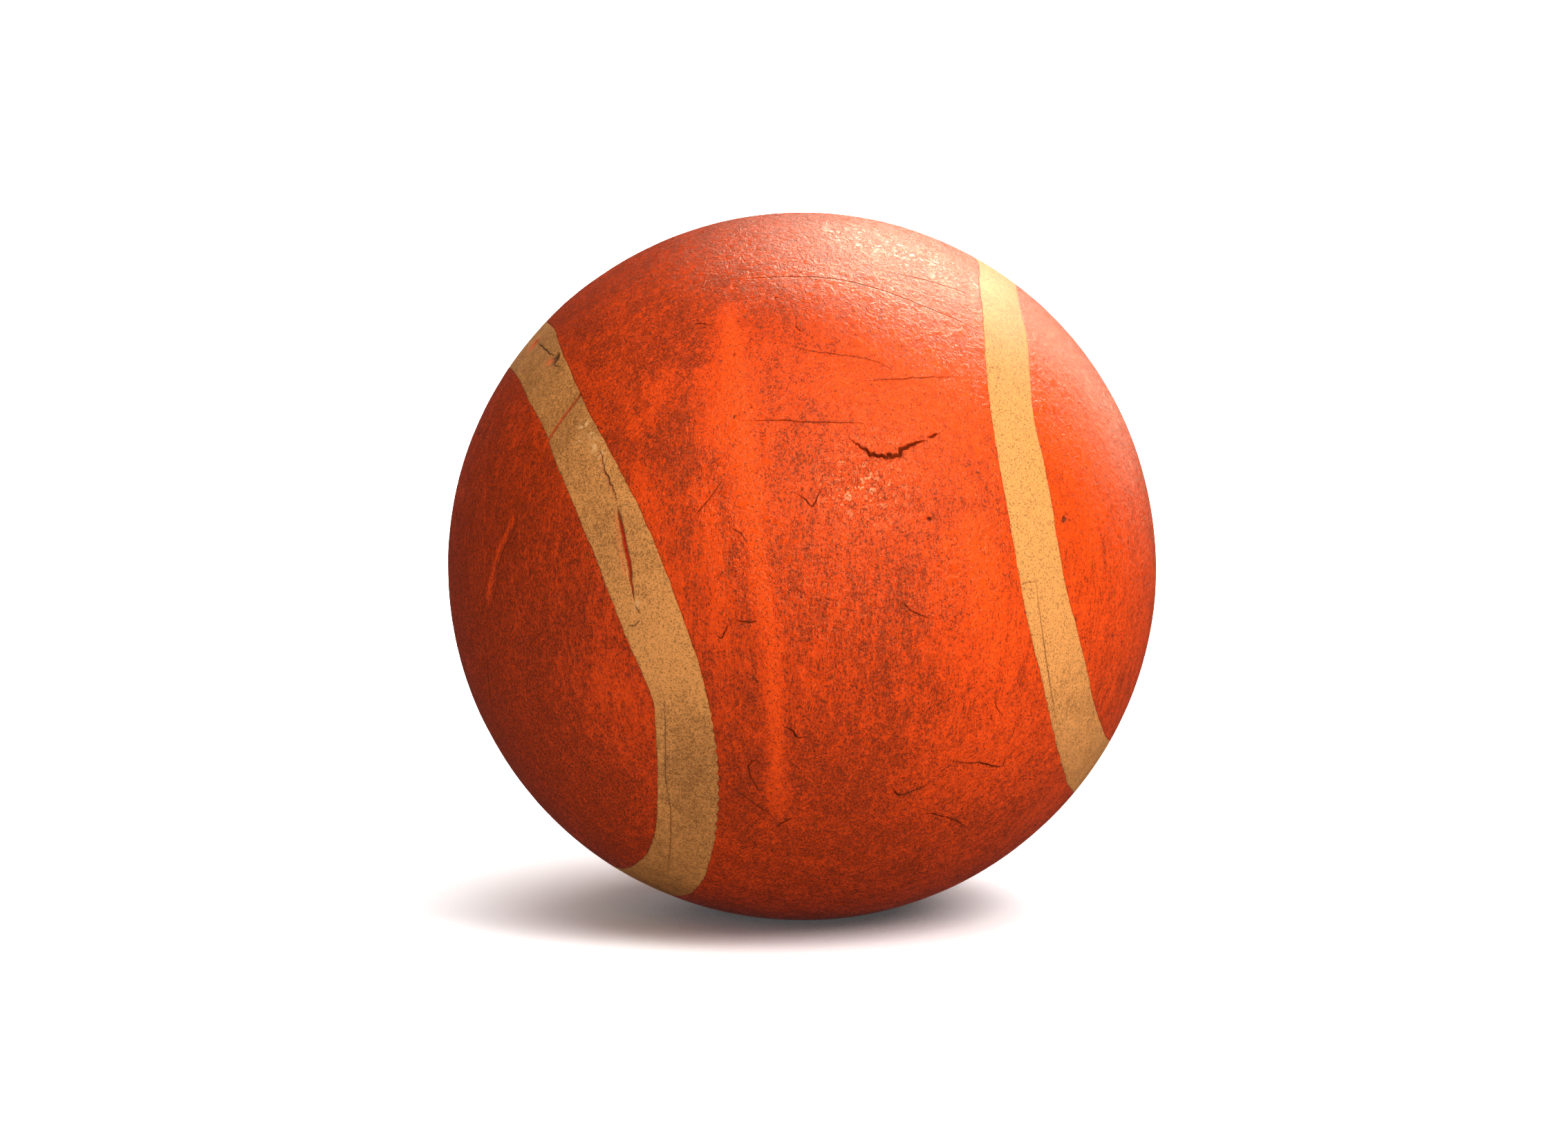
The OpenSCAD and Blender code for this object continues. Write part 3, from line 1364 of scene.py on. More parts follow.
@dataclass(frozen=True)
class CoreRubber:
    """The core's plain brown-red moulded rubber, chalky with mould powder."""

    body: Colour = rgb(0.26, 0.055, 0.022)
    powder: Colour = rgb(0.50, 0.26, 0.18)
    roughness: float = 0.7
    bump: float = 0.5
    bump_depth: float = 0.08

    def material(self, effects: Effects) -> bpy.types.Material:
        """Builds the finish.

        Args:
            effects: the shared groups.

        Returns:
            The material.
        """
        material, graph = new_material("Core rubber")
        place = graph.place()
        blotch = use(graph, effects.blotches, Place=place, Large=0.1, Middle=0.6, Small=2.8)
        dusty = graph.between(blotch, -0.1, 0.8)
        pores = use(graph, effects.pores, Place=place, Fineness=2.0)
        close(
            graph,
            {
                "Base Color": graph.mix(dusty, self.body, self.powder),
                "Roughness": graph.plus(self.roughness, graph.times(dusty, 0.2)),
                "Normal": graph.bumped(pores, self.bump, self.bump_depth),
            },
        )
        return material


@dataclass(frozen=True)
class Cement:
    """Dried rubber cement, in the colour of what it joins."""

    name: str
    body: Colour
    thin: Colour
    roughness: float = 0.5
    bump: float = 0.5
    bump_depth: float = 0.06

    def material(self, effects: Effects) -> bpy.types.Material:
        """Builds the finish.

        Args:
            effects: the shared groups.

        Returns:
            The material.
        """
        material, graph = new_material(self.name)
        brushed = graph.scaled(graph.place(), (0.5, 1.6, 0.5))
        blotch = use(graph, effects.blotches, Place=brushed, Large=0.3, Middle=0.9, Small=3.0)
        uneven = graph.between(blotch, -0.5, 0.5)
        pores = use(graph, effects.pores, Place=brushed, Fineness=2.5)
        close(
            graph,
            {
                "Base Color": graph.mix(uneven, self.body, self.thin),
                "Roughness": graph.plus(self.roughness, graph.times(uneven, 0.25)),
                "Normal": graph.bumped(pores, self.bump, self.bump_depth),
            },
        )
        return material


# --- The pieces -----------------------------------------------------------------------


def place_piece(piece: bpy.types.Object, material: bpy.types.Material, node: str) -> None:
    """Dresses a new piece and lets it stand for its CAD node.

    Args:
        piece: the piece.
        material: its finish.
        node: the CAD node's name.
    """
    piece.data.materials.append(material)
    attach(piece, "root")
    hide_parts(node)
    LOG.info("%s: %d triangles", piece.name, len(piece.data.polygons))


def short_cracks(count: int, seed: int) -> list[Split]:
    """Small cracks scattered over the whole ball, denser towards its underside.

    Args:
        count: how many are drawn.
        seed: number that they are drawn from.

    Returns:
        The cracks.
    """
    draw = np.random.default_rng(seed)
    cracks = []
    while len(cracks) < count:
        azimuth, rise = draw.uniform(-180, 180), draw.uniform(-1, 1)
        elevation = math.degrees(math.asin(rise))
        length, turn = draw.uniform(0.8, 4.0), draw.uniform(0, 2 * math.pi)
        bend = draw.normal(0, 0.5, 2)
        width, depth = draw.uniform(0.05, 0.13), draw.uniform(0.05, 0.14)
        visible = abs(azimuth - 5) < 80
        if abs(elevation) > 75 or (visible and (length > 2.0 or draw.uniform() > 0.5)):
            continue
        route = [(azimuth, elevation)]
        for sway in bend:
            turn += sway
            azimuth += math.cos(turn) * length / math.cos(math.radians(elevation))
            elevation += math.sin(turn) * length
            route.append((azimuth, elevation))
        cracks.append(Split(tuple(route), width=width, depth=depth, grime=0.8, seed=len(cracks)))
    return cracks


CORE_LINE = (
    (-21.3, 55), (-14.1, 39.4), (-10.9, 27.4), (-8.4, 17.5), (-7.1, 10),
    (-5.8, 1.4), (-4.8, -6.2), (-4.4, -21.3), (-4.8, -38.1), (-6.5, -59.3),
)  # fmt: skip


@dataclass
class Cover:
    """The two cover panels with their splits, creases and wear."""

    shape: BallShape
    cut: HandCut
    grain: Grain
    finish: CoverRubber = CoverRubber()
    spacing: float = 0.5
    inner_spacing: float = 2.2
    rim_rows: tuple[float, ...] = (0.07, 0.15, 0.35, 0.7)
    butt_step: float = 0.5
    sharp_edge: float = 62.0
    open_from: float = -0.93

    def splits(self) -> list[Split]:
        """Every split and crack in the cover."""
        return [
            Split(
                ((8.2, 28.3), (9.7, 27.3), (11.2, 26.2), (12.5, 25.4), (14.3, 25.2), (15, 25.7), (16.5, 25.4),
                 (17.4, 26.3), (19.3, 26.7), (21, 27.4), (22.1, 27.4)),
                width=0.42, depth=0.3, widest=0.72, jag=0.3, lip=0.03, grime=0.9, seed=1,
            ),
            Split(
                ((22.7, 28), (23.8, 28.2), (24.9, 28.5)),
                width=0.3, depth=0.22, jag=0.12, lip=0.02, grime=0.8, seed=2,
            ),
            Split(
                ((-1.1, 19.4), (0.4, 18.4), (1.5, 17.3), (2.3, 18.6), (3.2, 20.4)),
                width=0.1, depth=0.12, seed=3,
            ),
            Split(
                ((-10.7, 31.2), (-3.8, 31.3), (3.8, 31), (12.6, 30.6)),
                width=0.1, depth=0.07, grime=0.8, seed=4,
            ),
            Split(
                ((-24.2, 59.3), (-8.9, 60.6), (8.8, 60.2), (20.7, 57.6), (32.3, 52.9), (41.2, 48.5),
                 (44.5, 46.3)),
                width=0.12, depth=0.1, grime=0.85, jag=0.05, seed=5,
            ),
            Split(
                ((-3, 44.9), (3, 43.8), (14.6, 42), (19.8, 39.2)),
                width=0.1, depth=0.08, grime=0.8, seed=6,
            ),
            Split(((11.7, 38.2), (19.6, 38.3), (31.8, 38)), width=0.1, depth=0.08, grime=0.85, seed=7),
            Split(((30.6, 60.9), (41, 58.5), (51.5, 54.2)), width=0.09, depth=0.09, grime=0.5, seed=8),
            Split(((-10.5, -0.5), (-8.6, -0.8), (-7.1, -0.5)), width=0.13, depth=0.14, seed=9),
            Split(((-13.9, -2.7), (-12.7, -3.4), (-11.8, -1.4)), width=0.12, depth=0.13, seed=10),
            Split(
                ((-3.3, -17.6), (-1.7, -18.3), (-0.9, -19.6), (0.2, -19.6)),
                width=0.17, depth=0.2, lip=0.03, seed=11,
            ),
            Split(((-14, -28.5), (-10.2, -31.4), (-5.8, -35)), width=0.11, depth=0.12, jag=0.04, seed=12),
            Split(((-5.2, -37.5), (-3.2, -36), (-1.3, -35.2)), width=0.12, depth=0.12, seed=13),
            Split(
                ((-7.5, -30.6), (-9.1, -27.2), (-9.4, -25), (-8, -23.9), (-7.1, -24.9)),
                width=0.1, depth=0.12, seed=14,
            ),
            Split(
                ((26.5, -24.9), (30.2, -25.7), (33.3, -26), (37.7, -27.1), (38.4, -25.5), (41.3, -23.1)),
                width=0.16, depth=0.2, widest=0.55, lip=0.06, seed=15,
            ),
            Split(
                ((16.4, -29.6), (17.9, -30.9), (21.1, -30), (22.3, -29.4), (24.1, -28.4)),
                width=0.18, depth=0.22, widest=0.3, lip=0.05, seed=16,
            ),
            Split(
                ((23.4, -35.8), (25.5, -35.4), (27.8, -36.1), (31.4, -37.3), (35.4, -39.4)),
                width=0.12, depth=0.14, lip=0.03, seed=17,
            ),
            Split(((15.2, 2.3), (17.4, 0.7), (20.2, -0.7)), width=0.09, depth=0.1, seed=18),
            Split(((-13.2, 21.7), (-15.4, 18.4), (-18, 15)), width=0.09, depth=0.1, jag=0.04, seed=19),
            Split(
                ((-53.3, 14.5), (-53.9, 10.2), (-55.9, 7.3), (-57.1, 4), (-57.1, 1.7), (-59.1, -1.8)),
                width=0.16, depth=0.12, jag=0.06, lip=0.03, grime=0.6, seed=20,
            ),
            Split(
                ((-62.6, -9.2), (-64.5, -15.3), (-67.8, -22)),
                width=0.18, depth=0.16, grime=0.6, seed=21,
            ),
            Split(((20.3, 14.9), (20.8, 14.9), (21.3, 14.8)), width=0.5, depth=0.2, jag=0.02, seed=22),
            Split(((46.8, 12.4), (47.3, 12.9), (47.8, 13.5)), width=0.7, depth=0.25, jag=0.03, seed=23),
            Split(
                ((-15.1, 43), (-14.9, 43), (-14.6, 43)),
                width=0.4, depth=0.15, jag=0.02, grime=0.7, seed=24,
            ),
            Split(((-7.8, 55.3), (-7.6, 55.3), (-7.2, 55.3)), width=0.35, depth=0.15, jag=0.02, seed=25),
            Split(((-12.9, 31.8), (-12.7, 31.8), (-12.4, 31.8)), width=0.35, depth=0.15, jag=0.02, seed=26),
            Split(
                ((118, 20), (124, 17), (131, 18), (137, 14)),
                width=0.3, depth=0.35, lip=0.05, jag=0.14, seed=27,
            ),
            Split(((-150, 5), (-143, 1), (-139, -6), (-136, -15)), width=0.12, depth=0.14, seed=28),
            Split(((160, 62), (172, 60), (-174, 57), (-160, 55)), width=0.1, depth=0.1, grime=0.7, seed=29),
            Split(
                ((150, -2), (165, -5), (178, -4), (-168, -8)),
                width=0.09, depth=0.08, grime=0.6, seed=30,
            ),
            *short_cracks(70, 11),
        ]  # fmt: skip

    def wear(self) -> list[Patch | Streak]:
        """Where the cover is rubbed bright or dirty."""
        rubbed, veil = Wear.RUBBED, Wear.VEIL
        back_line = tuple((azimuth + 172, elevation) for azimuth, elevation in CORE_LINE)
        return [
            Streak(CORE_LINE[:-1], 0.85, 0.95, rubbed),
            Streak(CORE_LINE[:5], 2.2, 0.45, rubbed),
            Streak(back_line, 1.1, 0.5, rubbed),
            Streak(
                ((-54.3, 13.9), (-55.2, 10.5), (-56.9, 7.9), (-58.2, 4.7), (-59.3, 2), (-60.6, -2.7)),
                0.35, 0.8, rubbed,
            ),
            Streak(((-29, 26), (-25, 14), (-22, 4), (-19.5, -6)), 1.8, 0.35, rubbed),
            Streak(((-17, 22), (-14.5, 12), (-13, 2), (-12.6, -6)), 1.1, 0.5, rubbed),
            Streak(((-20, 42), (-18, 33), (-15.5, 26)), 1.5, 0.45, rubbed),
            Streak(((-31, 40), (-28, 34), (-33, 27)), 1.6, 0.4, rubbed),
            Streak(((28, 16), (29.5, 6), (31.5, -4), (34, -12)), 3.2, 0.5, rubbed),
            Patch((58, 15), 12, 0.3, rubbed, 1.5),
            Patch((52, 34), 8, 0.25, rubbed),
            Patch((6, 38), 12, 0.2, rubbed),
            Patch((24, 34), 9, 0.25, rubbed),
            Patch((30, -22), 6.5, 0.35, rubbed),
            Patch((-33, -14), 5, 0.35, rubbed, 1.4),
            Patch((8, -10), 10, 0.1, veil, 1.3),
            Patch((12, -26), 8, 0.15, veil),
            Patch((2, -46), 16, 0.15, veil),
            Patch((30, -45), 14, 0.1, veil),
            Patch((-12, -22), 4, 0.2, veil, 2.0),
            Patch((-32, 46), 9, 0.15, veil),
            Patch((-14, 48), 7, 0.2, veil),
            Patch((-24, 27), 5, 0.25, veil),
            Patch((-75, 5), 16, 0.4, veil, 1.8),
            Patch((-48, -12), 12, 0.2, veil, 1.5),
            Patch((-55, -30), 14, 0.2, veil),
            Patch((-45, 2), 8, 0.15, veil),
            Patch((170, 10), 20, 0.25, veil),
            Patch((120, -30), 18, 0.3, veil),
            Patch((-140, -20), 18, 0.3, veil),
            Patch((150, 35), 12, 0.4, rubbed),
            Patch((-120, 15), 11, 0.4, rubbed),
        ]

    def relief(self) -> list[Patch | Streak]:
        """Where the cover bulges, dips or folds."""
        return [
            Streak(CORE_LINE, 1.4, 0.035),
            Streak(
                ((-54.6, 13.9), (-55.6, 10.5), (-57.4, 7.9), (-58.8, 4.7), (-59.9, 2), (-61, -2.7)),
                0.5, 0.025,
            ),
            Streak(((8, 28), (15, 25), (23, 28)), 1.6, -0.06),
            Streak(((27, -25), (33, -26), (38, -26), (41, -23)), 1.0, -0.07),
            Patch((34, -27.5), 1.6, 0.06, stretch=0.7),
            Patch((21, -31.5), 1.5, 0.05, stretch=0.6),
            Patch((40, -21), 2.2, -0.06),
            Patch((-9.4, 2.4), 1.2, 0.06),
            Patch((7, 22), 5, -0.04),
        ]

    def skin(self) -> Skin:
        """The skin that both panels are cut from."""
        return Skin(self.shape, self.splits(), self.wear(), self.relief())

    def panel(self, name: str, node: str, chart: AzEl, material: bpy.types.Material) -> bpy.types.Object:
        """Builds one panel.

        Args:
            name: the piece's name.
            node: the CAD node that it stands for.
            chart: middle of the panel's flat chart.
            material: its finish.

        Returns:
            The finished piece.
        """
        shape, skin = self.shape, self.skin()
        rim = self.cut.edge(shape.cut_line(node, shape.radius), shape.radius, self.grain, -1)
        butt = respaced(shape.cut_line(node, shape.ledge, 1), self.butt_step, shape.ledge, closed=True)
        travel = along(rim, closed=True)
        banks = [shifted(rim, travel, row, shape.radius) for row in self.rim_rows]
        to_rim = Reach(rim, shape.radius)
        rows = thinned(np.concatenate([skin.rows(), *banks]), WELD, shape.radius)
        rows = rows[to_rim.distance(rows) > WELD]
        loose = spread(self.spacing, shape.radius)
        loose = loose[loose @ headings([chart])[0] > self.open_from]
        fixed = Reach(np.concatenate([rows, rim]), shape.radius)
        loose = loose[fixed.distance(loose) > self.spacing * ELBOW_ROOM]
        top = Sheet.between([rim], np.concatenate([rows, loose]), chart)
        ledge = Sheet.between([rim, butt], np.empty((0, 3)), chart)
        inner = Sheet.between([butt], spread(self.inner_spacing, shape.cover_inside), chart)
        radii, wear = skin.finish(top.points, to_rim.distance(top.points))
        solid = Solid()
        base = solid.add(top.points * radii[:, None], top.faces, wear)
        # Painted shade: the ledge under the strip is darkened with the dirt colour.
        shelf = solid.add(ledge.points * shape.ledge, ledge.faces, {Wear.GRIME_AND_SHADE: 0.6})
        under = solid.add(inner.points * shape.cover_inside, inner.faces[:, ::-1], {})
        solid.wall(top.loops[0] + base, ledge.loops[0] + shelf)
        solid.wall(ledge.loops[1] + shelf, inner.loops[0] + under)
        piece = solid.make(name, shape, self.sharp_edge)
        place_piece(piece, material, node)
        return piece

    def build(self, effects: Effects) -> None:
        """Builds both panels.

        Args:
            effects: the shared shader groups.
        """
        material = self.finish.material(effects)
        self.panel("Cover_panel_front", "cover_panel_front", (8.0, 0.0), material)
        self.panel("Cover_panel_side", "cover_panel_side", (-172.0, 0.0), material)


@dataclass(frozen=True)
class Opening:
    """A hole torn right through the strip."""

    route: tuple[AzEl, ...]
    width: float
    widest: float = 0.5
    jag: float = 0.05
    seed: int = 0

    def outline(self, radius: float) -> np.ndarray:
        """The hole's edge as a closed line.

        Args:
            radius: radius of the skin.

        Returns:
            Directions along it, with the strip on its left.
        """
        split = Split(self.route, width=self.width, widest=self.widest, jag=self.jag, seed=self.seed)
        line = split.line(radius)
        travel = along(line, closed=False)
        share = np.linspace(0, 1, len(line))
        bent = bent_share(share, self.widest)
        half = self.width / 2 * np.sin(math.pi * bent) ** 0.75
        left = shifted(line, travel, half, radius)[1:-1]
        right = shifted(line, travel, -half, radius)[1:-1]
        return np.concatenate([line[:1], left, line[-1:], right[::-1]])


@dataclass
class SeamStrip:
    """The ochre strip over the seam, with its splice, torn holes and cracks."""

    shape: BallShape
    cut: HandCut
    grain: Grain
    finish: StripRubber = StripRubber()
    spacing: float = 0.36
    rim_rows: tuple[float, ...] = (0.07, 0.16, 0.34)
    half_reach: float = 4.0
    hole_step: float = 0.12
    rim_room: float = 0.045
    sharp_edge: float = 50.0
    chart: AzEl = (8.0, 0.0)

    def openings(self) -> list[Opening]:
        """The holes that go right through."""
        return [
            Opening(
                ((-31.6, 16.3), (-30.6, 13.6), (-29.9, 11.6), (-29.1, 9.4), (-28.4, 7.2), (-27.8, 4.6),
                 (-27.2, 1.6)),
                0.52, 0.42, 0.09, 51,
            ),
            Opening(((-80.4, 41.0), (-79.4, 40.6), (-78.4, 40.2)), 1.1, 0.5, 0.04, 53),
        ]  # fmt: skip

    def splits(self) -> list[Split]:
        """Cracks and the traces of the butt seam in the strip."""
        return [
            Split(
                ((-37.6, 25), (-35.9, 22.5), (-33.9, 19.9), (-33, 19), (-31.9, 17)),
                width=0.16, depth=0.16, lip=0.03, torn=0.2, jag=0.16, seed=61,
            ),
            Split(
                ((-62.9, 40.4), (-61.9, 39.3), (-60.9, 38.0)),
                width=1.1, depth=0.46, jag=0.03, grime=1.0, seed=52,
            ),
            Split(((-27.1, 1.0), (-26.6, 0.3), (-26, -0.2)), width=0.1, depth=0.1, seed=62),
            Split(
                ((-78.2, 40.9), (-72, 40.6), (-66.1, 39.9), (-62.3, 39.6)),
                width=0.12, depth=0.14, jag=0.1, seed=63,
            ),
            Split(((-60.8, 38.2), (-57.9, 38)), width=0.08, depth=0.1, seed=64),
            Split(
                ((-24.1, -8.8), (-22.9, -13.9), (-23.6, -20.7), (-25.1, -28.1), (-26.2, -34.9),
                 (-29.7, -42.8), (-38.5, -53.2)),
                width=0.08, depth=0.07, jag=0.04, grime=0.65, seed=65,
            ),
            Split(
                ((-26.9, -27.2), (-24.4, -27.2), (-21.5, -27.4)),
                width=0.07, depth=0.06, grime=0.45, seed=66,
            ),
            Split(
                ((-27.6, -32.2), (-25.6, -33.3), (-21.1, -37.5)),
                width=0.08, depth=0.08, grime=0.6, jag=0.03, seed=67,
            ),
            Split(
                ((39.4, 5), (40.4, -1.3), (42.1, -7.8), (44, -12.7), (45.8, -16.3), (48.5, -20.9)),
                width=0.09, depth=0.08, jag=0.04, grime=0.7, seed=68,
            ),
            Split(((36.7, 3.7), (38, 3.8), (39.6, 3.7)), width=0.08, depth=0.07, grime=0.6, seed=69),
            Split(
                ((-46.6, 40.3), (-45, 39), (-43.7, 37.9), (-43.3, 34.6), (-43.5, 31.6)),
                width=0.07, depth=0.06, grime=0.5, seed=70,
            ),
            Split(((-28.4, -2.2), (-27.2, -2.0), (-26.2, -1.2)), width=0.1, depth=0.1, grime=0.8, seed=71),
            Split(((-140, 36), (-133, 37), (-127, 35)), width=0.14, depth=0.16, lip=0.03, seed=72),
            Split(((150, -25), (143, -24.6), (137, -26)), width=0.1, depth=0.1, seed=73),
            Split(
                ((172, 43), (160, 45), (146, 48.5), (130, 53)),
                width=0.08, depth=0.07, grime=0.6, seed=74,
            ),
            Split(((-165, -31), (-150, -36), (-134, -42)), width=0.08, depth=0.07, grime=0.6, seed=75),
        ]  # fmt: skip

    def wear(self) -> list[Patch | Streak]:
        """Where the strip is flaked, rubbed, browned or torn, and a painted shadow inside its torn hole."""
        flake, veil, rubbed, torn, grime = Wear.FLAKE, Wear.VEIL, Wear.RUBBED, Wear.TORN, Wear.GRIME_AND_SHADE
        hole_lips_and_shadow = [
            Streak(((-32.0, 16), (-30.8, 12), (-29.8, 8.6), (-28.7, 5.2)), 0.1, 0.5, torn),
            # Painted shadow: a dark band along the right side of the torn hole stands for the shade on its
            # far wall.
            Streak(
                ((-31.2, 16), (-30.2, 13.6), (-29.5, 11.6), (-28.7, 9.4), (-28, 7.2), (-27.4, 4.6)),
                0.1, 1.0, grime,
            ),
            Patch((-63.4, 38.4), 0.4, 0.9, torn),
            Patch((-79.6, 40.2), 0.8, 0.9, torn),
        ]
        flakes = [
            Patch(at, 0.34, 1.0, flake, 1.5, -25)
            for at in (
                (-42.9, 26.2), (-42.3, 29), (-39.6, 26.2), (-38.8, 25.2), (-37.0, 24.2), (-43.6, 28.2),
                (-26.9, 1.2), (-35.9, 22.8), (-45.8, 34.5), (-40.6, 27.4),
            )
        ]  # fmt: skip
        return hole_lips_and_shadow + flakes + [
            Patch((-19, -27), 3.0, 0.35, veil, 1.8),
            Patch((-23, -31), 3.5, 0.15, veil, 1.4),
            Patch((-66, 39), 6, 0.3, veil),
            Patch((-46, 27), 5, 0.25, veil),
            Patch((-32, 14), 4, 0.15, veil),
            Patch((-34, -50), 8, 0.15, veil),
            Patch((48, -16), 3.0, 0.2, veil),
            Patch((-24, -6), 6, 0.4, rubbed),
            Patch((41, 30), 10, 0.35, rubbed, 2.0),
            Patch((42, 0), 7, 0.3, rubbed, 2.0),
            Patch((160, -24), 10, 0.3, veil),
            Patch((-140, 37), 8, 0.3, veil),
        ]

    def build(self, effects: Effects) -> None:
        """Builds the strip as one closed solid.

        Args:
            effects: the shared shader groups.
        """
        shape = self.shape
        swelling = Streak(((-34, 20), (-30, 11), (-27.5, 2)), 1.0, 0.03)
        skin = Skin(shape, self.splits(), self.wear(), [swelling])
        rim = self.cut.edge(shape.cut_line("seam_strip", shape.radius), shape.radius, self.grain, 1)
        outlines = [opening.outline(shape.radius) for opening in self.openings()]
        holes = [respaced(line, self.hole_step, shape.radius, closed=True) for line in outlines]
        loops = [rim, *holes]
        banks = []
        for loop in loops:
            travel = along(loop, closed=True)
            banks += [shifted(loop, travel, row, shape.radius) for row in self.rim_rows]
        to_rim, to_any = Reach(rim, shape.radius), Reach(np.concatenate(loops), shape.radius)
        rows = thinned(np.concatenate([skin.rows(), *banks]), WELD, shape.radius)
        rows = rows[to_any.distance(rows) > self.rim_room]
        loose = spread(self.spacing, shape.radius)
        loose = loose[to_rim.distance(loose) < self.half_reach]
        fixed = Reach(np.concatenate([rows, *loops]), shape.radius)
        loose = loose[fixed.distance(loose) > self.spacing * ELBOW_ROOM]
        top = Sheet.between(loops, np.concatenate([rows, loose]), self.chart)
        below = Sheet.between(loops, np.empty((0, 3)), self.chart)
        radii, wear = skin.finish(top.points, to_any.distance(top.points))
        solid = Solid()
        base = solid.add(top.points * radii[:, None], top.faces, wear)
        under = solid.add(below.points * shape.strip_floor, below.faces[:, ::-1], {Wear.TORN: 0.9})
        for upper, lower in zip(top.loops, below.loops):
            solid.wall(upper + base, lower + under)
        piece = solid.make("Seam_strip", shape, self.sharp_edge)
        place_piece(piece, self.finish.material(effects), "seam_strip")


@dataclass(frozen=True)
class Inside:
    """The core halves and the cements, which keep their CAD shapes."""

    core: CoreRubber = CoreRubber()
    joint: Cement = Cement("Core cement", rgb(0.62, 0.50, 0.32), rgb(0.40, 0.28, 0.16))
    film: Cement = Cement("Cover cement", rgb(0.30, 0.10, 0.05), rgb(0.45, 0.16, 0.08))
    butt: Cement = Cement("Butt seam cement", rgb(0.22, 0.04, 0.02), rgb(0.10, 0.025, 0.012))
    under_strip: Cement = Cement("Strip cement", rgb(0.80, 0.060, 0.008), rgb(0.50, 0.030, 0.005))

    def build(self, effects: Effects) -> None:
        """Dresses each CAD node that stays.

        Args:
            effects: the shared shader groups.
        """
        core = self.core.material(effects)
        finishes = {
            "core_half_left": core,
            "core_half_right": core,
            "core_joint_cement": self.joint.material(effects),
            "cover_cement": self.film.material(effects),
            "panel_joint_cement": self.butt.material(effects),
            "strip_cement": self.under_strip.material(effects),
        }
        for name, material in finishes.items():
            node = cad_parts[name]
            node.data.materials.clear()
            node.data.materials.append(material)
            LOG.info("%s: CAD shape kept, dressed in %s", name, material.name)


# --- The studio -----------------------------------------------------------------------


@dataclass(frozen=True)
class Lamp:
    """A soft box that faces the ball. The rubber either mirrors it or is lit by it."""

    name: str
    toward: tuple[float, float, float]
    distance: float
    size: tuple[float, float]
    watts: float
    mirrored: bool = False
    tint: tuple[float, float, float] = (1.0, 1.0, 1.0)

    def build(self, target: Vector) -> None:
        """Makes the light, `toward` being its direction as seen from the ball.

        Args:
            target: what it faces.
        """
        data = bpy.data.lights.new(self.name, "AREA")
        data.shape = "RECTANGLE"
        data.size, data.size_y = self.size
        data.energy = self.watts
        data.color = self.tint
        lamp = bpy.data.objects.new(self.name, data)
        bpy.context.scene.collection.objects.link(lamp)
        direction = Vector(self.toward).normalized()
        lamp.location = target + direction * self.distance
        lamp.rotation_euler = direction.to_track_quat("Z", "Y").to_euler()
        lamp.visible_glossy = self.mirrored
        lamp.visible_diffuse = not self.mirrored
        lamp.visible_camera = False


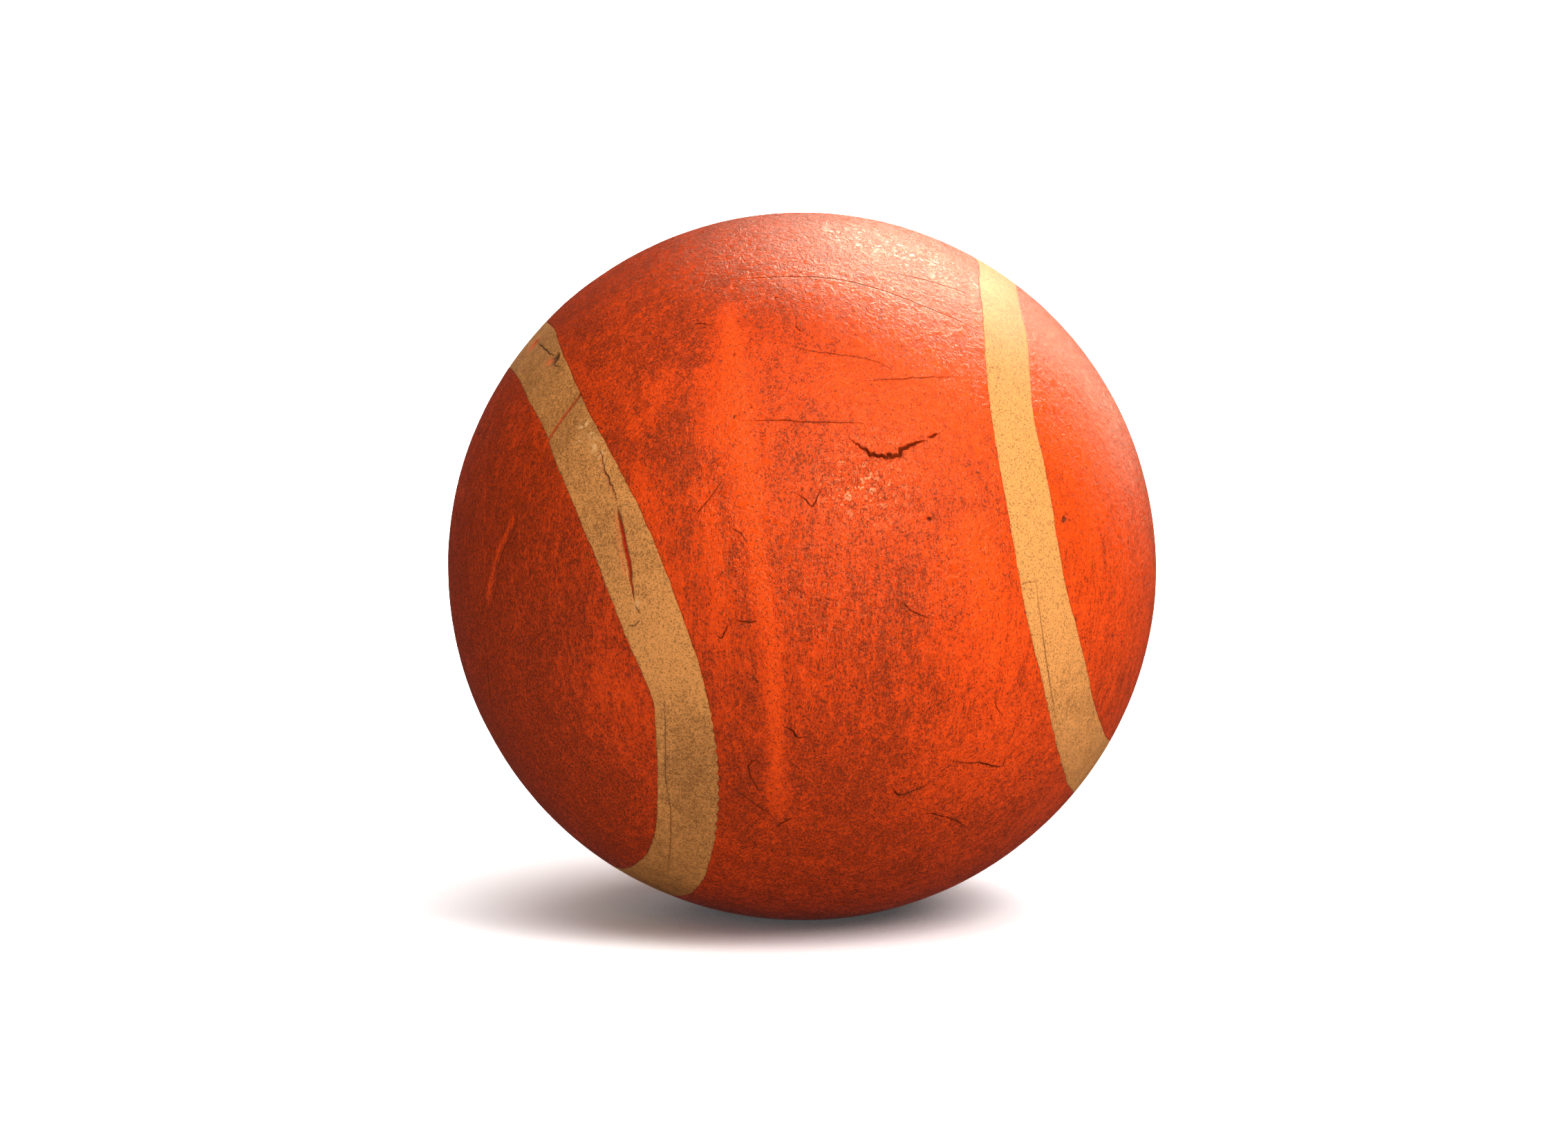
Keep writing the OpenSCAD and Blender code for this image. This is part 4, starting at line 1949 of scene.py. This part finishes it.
@dataclass(frozen=True)
class Studio:
    """Pale floor, soft light, a white room and the camera."""

    floor_side: float = 3.0
    floor_gain: float = 2.35
    floor_bounce: float = 0.45
    room: float = 0.05
    room_to_eye: float = 1.2
    # Painted shadow on the floor around the ball: its reach, depth and samples
    shade_reach: float = 0.10
    shade_depth: float = 0.62
    shade_samples: int = 8
    # Painted glow of the floor to the eye: a little everywhere, rising to full between these two distances
    # from the ball
    floor_glow: float = 0.06
    clear_from: float = 0.12
    clear_by: float = 0.35
    eye_distance: float = 0.792
    eye_elevation: float = 8.0
    eye_shift: float = -0.00182
    lens: float = 179.0
    film_width: float = 36.0
    near_clip: float = 0.01
    lamps: tuple[Lamp, ...] = (
        Lamp("Key", (0.66, -0.45, 0.60), 0.60, (0.36, 0.36), 3.5),
        Lamp("Top_back", (0.29, 0.72, 0.64), 0.42, (0.22, 0.10), 2.6, True, (1.0, 0.89, 0.66)),
        Lamp("Back_right", (0.52, 0.85, 0.34), 0.50, (0.20, 0.30), 0.65, True, (1.0, 0.89, 0.64)),
        Lamp("Front_top", (0.31, -0.78, 0.55), 0.60, (0.12, 0.10), 4.8, True, (1.0, 0.80, 0.42)),
        Lamp("Front_low", (0.12, -1.0, -0.10), 0.80, (0.5, 0.3), 5.9, tint=(1.0, 0.97, 0.94)),
        Lamp("Left_fill", (-0.85, -0.50, 0.10), 0.70, (0.5, 0.5), 1.0, tint=(1.0, 0.97, 0.94)),
        Lamp("Back_fill", (-0.20, 1.0, 0.12), 0.90, (0.8, 0.6), 3.5, tint=(1.0, 0.97, 0.94)),
        Lamp("Over", (0.05, 0.05, 1.0), 0.8, (1.1, 1.1), 6.5),
    )

    def build(self, shape: BallShape) -> None:
        """Sets up the floor, the light, the room and the camera.

        Args:
            shape: the ball that they are set up for.
        """
        target = Vector((0.0, 0.0, shape.centre_z * MM))
        self.floor()
        self.surroundings()
        for lamp in self.lamps:
            lamp.build(target)
        self.camera(target)

    def floor(self) -> None:
        """A plain pale floor, less bright to what it lights than to the eye, with a painted shadow around the
        ball and a painted glow to the eye.
        """
        half = self.floor_side / 2
        mesh = bpy.data.meshes.new("Floor")
        corners = [(-half, -half, 0), (half, -half, 0), (half, half, 0), (-half, half, 0)]
        mesh.from_pydata(corners, [], [(0, 1, 2, 3)])
        floor = bpy.data.objects.new("Floor", mesh)
        bpy.context.scene.collection.objects.link(floor)
        material, graph = new_material("Floor paper")
        path = graph.node("ShaderNodeLightPath").outputs
        seen = path["Is Camera Ray"]
        # Painted shadow: ambient occlusion darkens the floor's colour near the ball.
        reach, samples = self.shade_reach, self.shade_samples
        shade = graph.node("ShaderNodeAmbientOcclusion", {"Distance": reach}, samples=samples)
        soft = graph.math("POWER", shade.outputs["AO"], self.shade_depth)
        lit = graph.times(soft, self.floor_gain)
        bright = graph.node("ShaderNodeCombineColor", {0: lit, 1: lit, 2: lit}).outputs[0]
        tone = graph.mix(seen, rgb(*(self.floor_bounce,) * 3), bright)
        paper = graph.node("ShaderNodeBsdfDiffuse", {"Color": tone})
        # Painted glow: to the eye the floor glows a little everywhere, and fully away from the ball.
        away = graph.node("ShaderNodeVectorMath", {0: graph.place()}, operation="LENGTH").outputs["Value"]
        clear = graph.between(away, self.clear_from / MM, self.clear_by / MM)
        painted_glow = graph.plus(clear, self.floor_glow)
        glow = graph.node("ShaderNodeEmission", {"Strength": graph.times(seen, painted_glow)})
        both = graph.node("ShaderNodeAddShader", {0: paper.outputs[0], 1: glow.outputs[0]})
        graph.node("ShaderNodeOutputMaterial", {"Surface": both.outputs[0]})
        mesh.materials.append(material)
        floor.visible_glossy = False

    def surroundings(self) -> None:
        """A white room to the eye, and a dim one to the ball."""
        world = bpy.data.worlds.new("Room")
        world.use_nodes = True
        world.node_tree.nodes.clear()
        graph = Graph(world.node_tree)
        path = graph.node("ShaderNodeLightPath").outputs
        level = graph.plus(graph.times(path["Is Camera Ray"], self.room_to_eye), self.room)
        air = graph.node("ShaderNodeBackground", {"Color": rgb(1, 1, 1), "Strength": level})
        graph.node("ShaderNodeOutputWorld", {"Surface": air.outputs[0]})
        bpy.context.scene.world = world

    def camera(self, target: Vector) -> None:
        """The camera, which looks a little down at the ball.

        Args:
            target: what it looks at.
        """
        data = bpy.data.cameras.new("Camera")
        data.lens = self.lens
        data.sensor_width = self.film_width
        data.clip_start = self.near_clip
        camera = bpy.data.objects.new("Camera", data)
        bpy.context.scene.collection.objects.link(camera)
        rise = math.radians(self.eye_elevation)
        direction = Vector((0.0, -math.cos(rise), math.sin(rise)))
        camera.location = target + direction * self.eye_distance + Vector((self.eye_shift, 0, 0))
        camera.rotation_euler = direction.to_track_quat("Z", "Y").to_euler()
        bpy.context.scene.camera = camera


def main() -> None:
    """Builds the ball around its frame, and the studio around the ball."""
    logging.basicConfig(level=logging.INFO, format="%(name)s: %(message)s")
    bpy.context.scene.view_settings.view_transform = "Standard"
    shape = BallShape.from_frame()
    effects = Effects.build()
    cut, grain = HandCut(), Grain(7)
    Inside().build(effects)
    Cover(shape, cut, grain).build(effects)
    SeamStrip(shape, cut, grain).build(effects)
    Studio().build(shape)


if __name__ == "__main__":
    main()
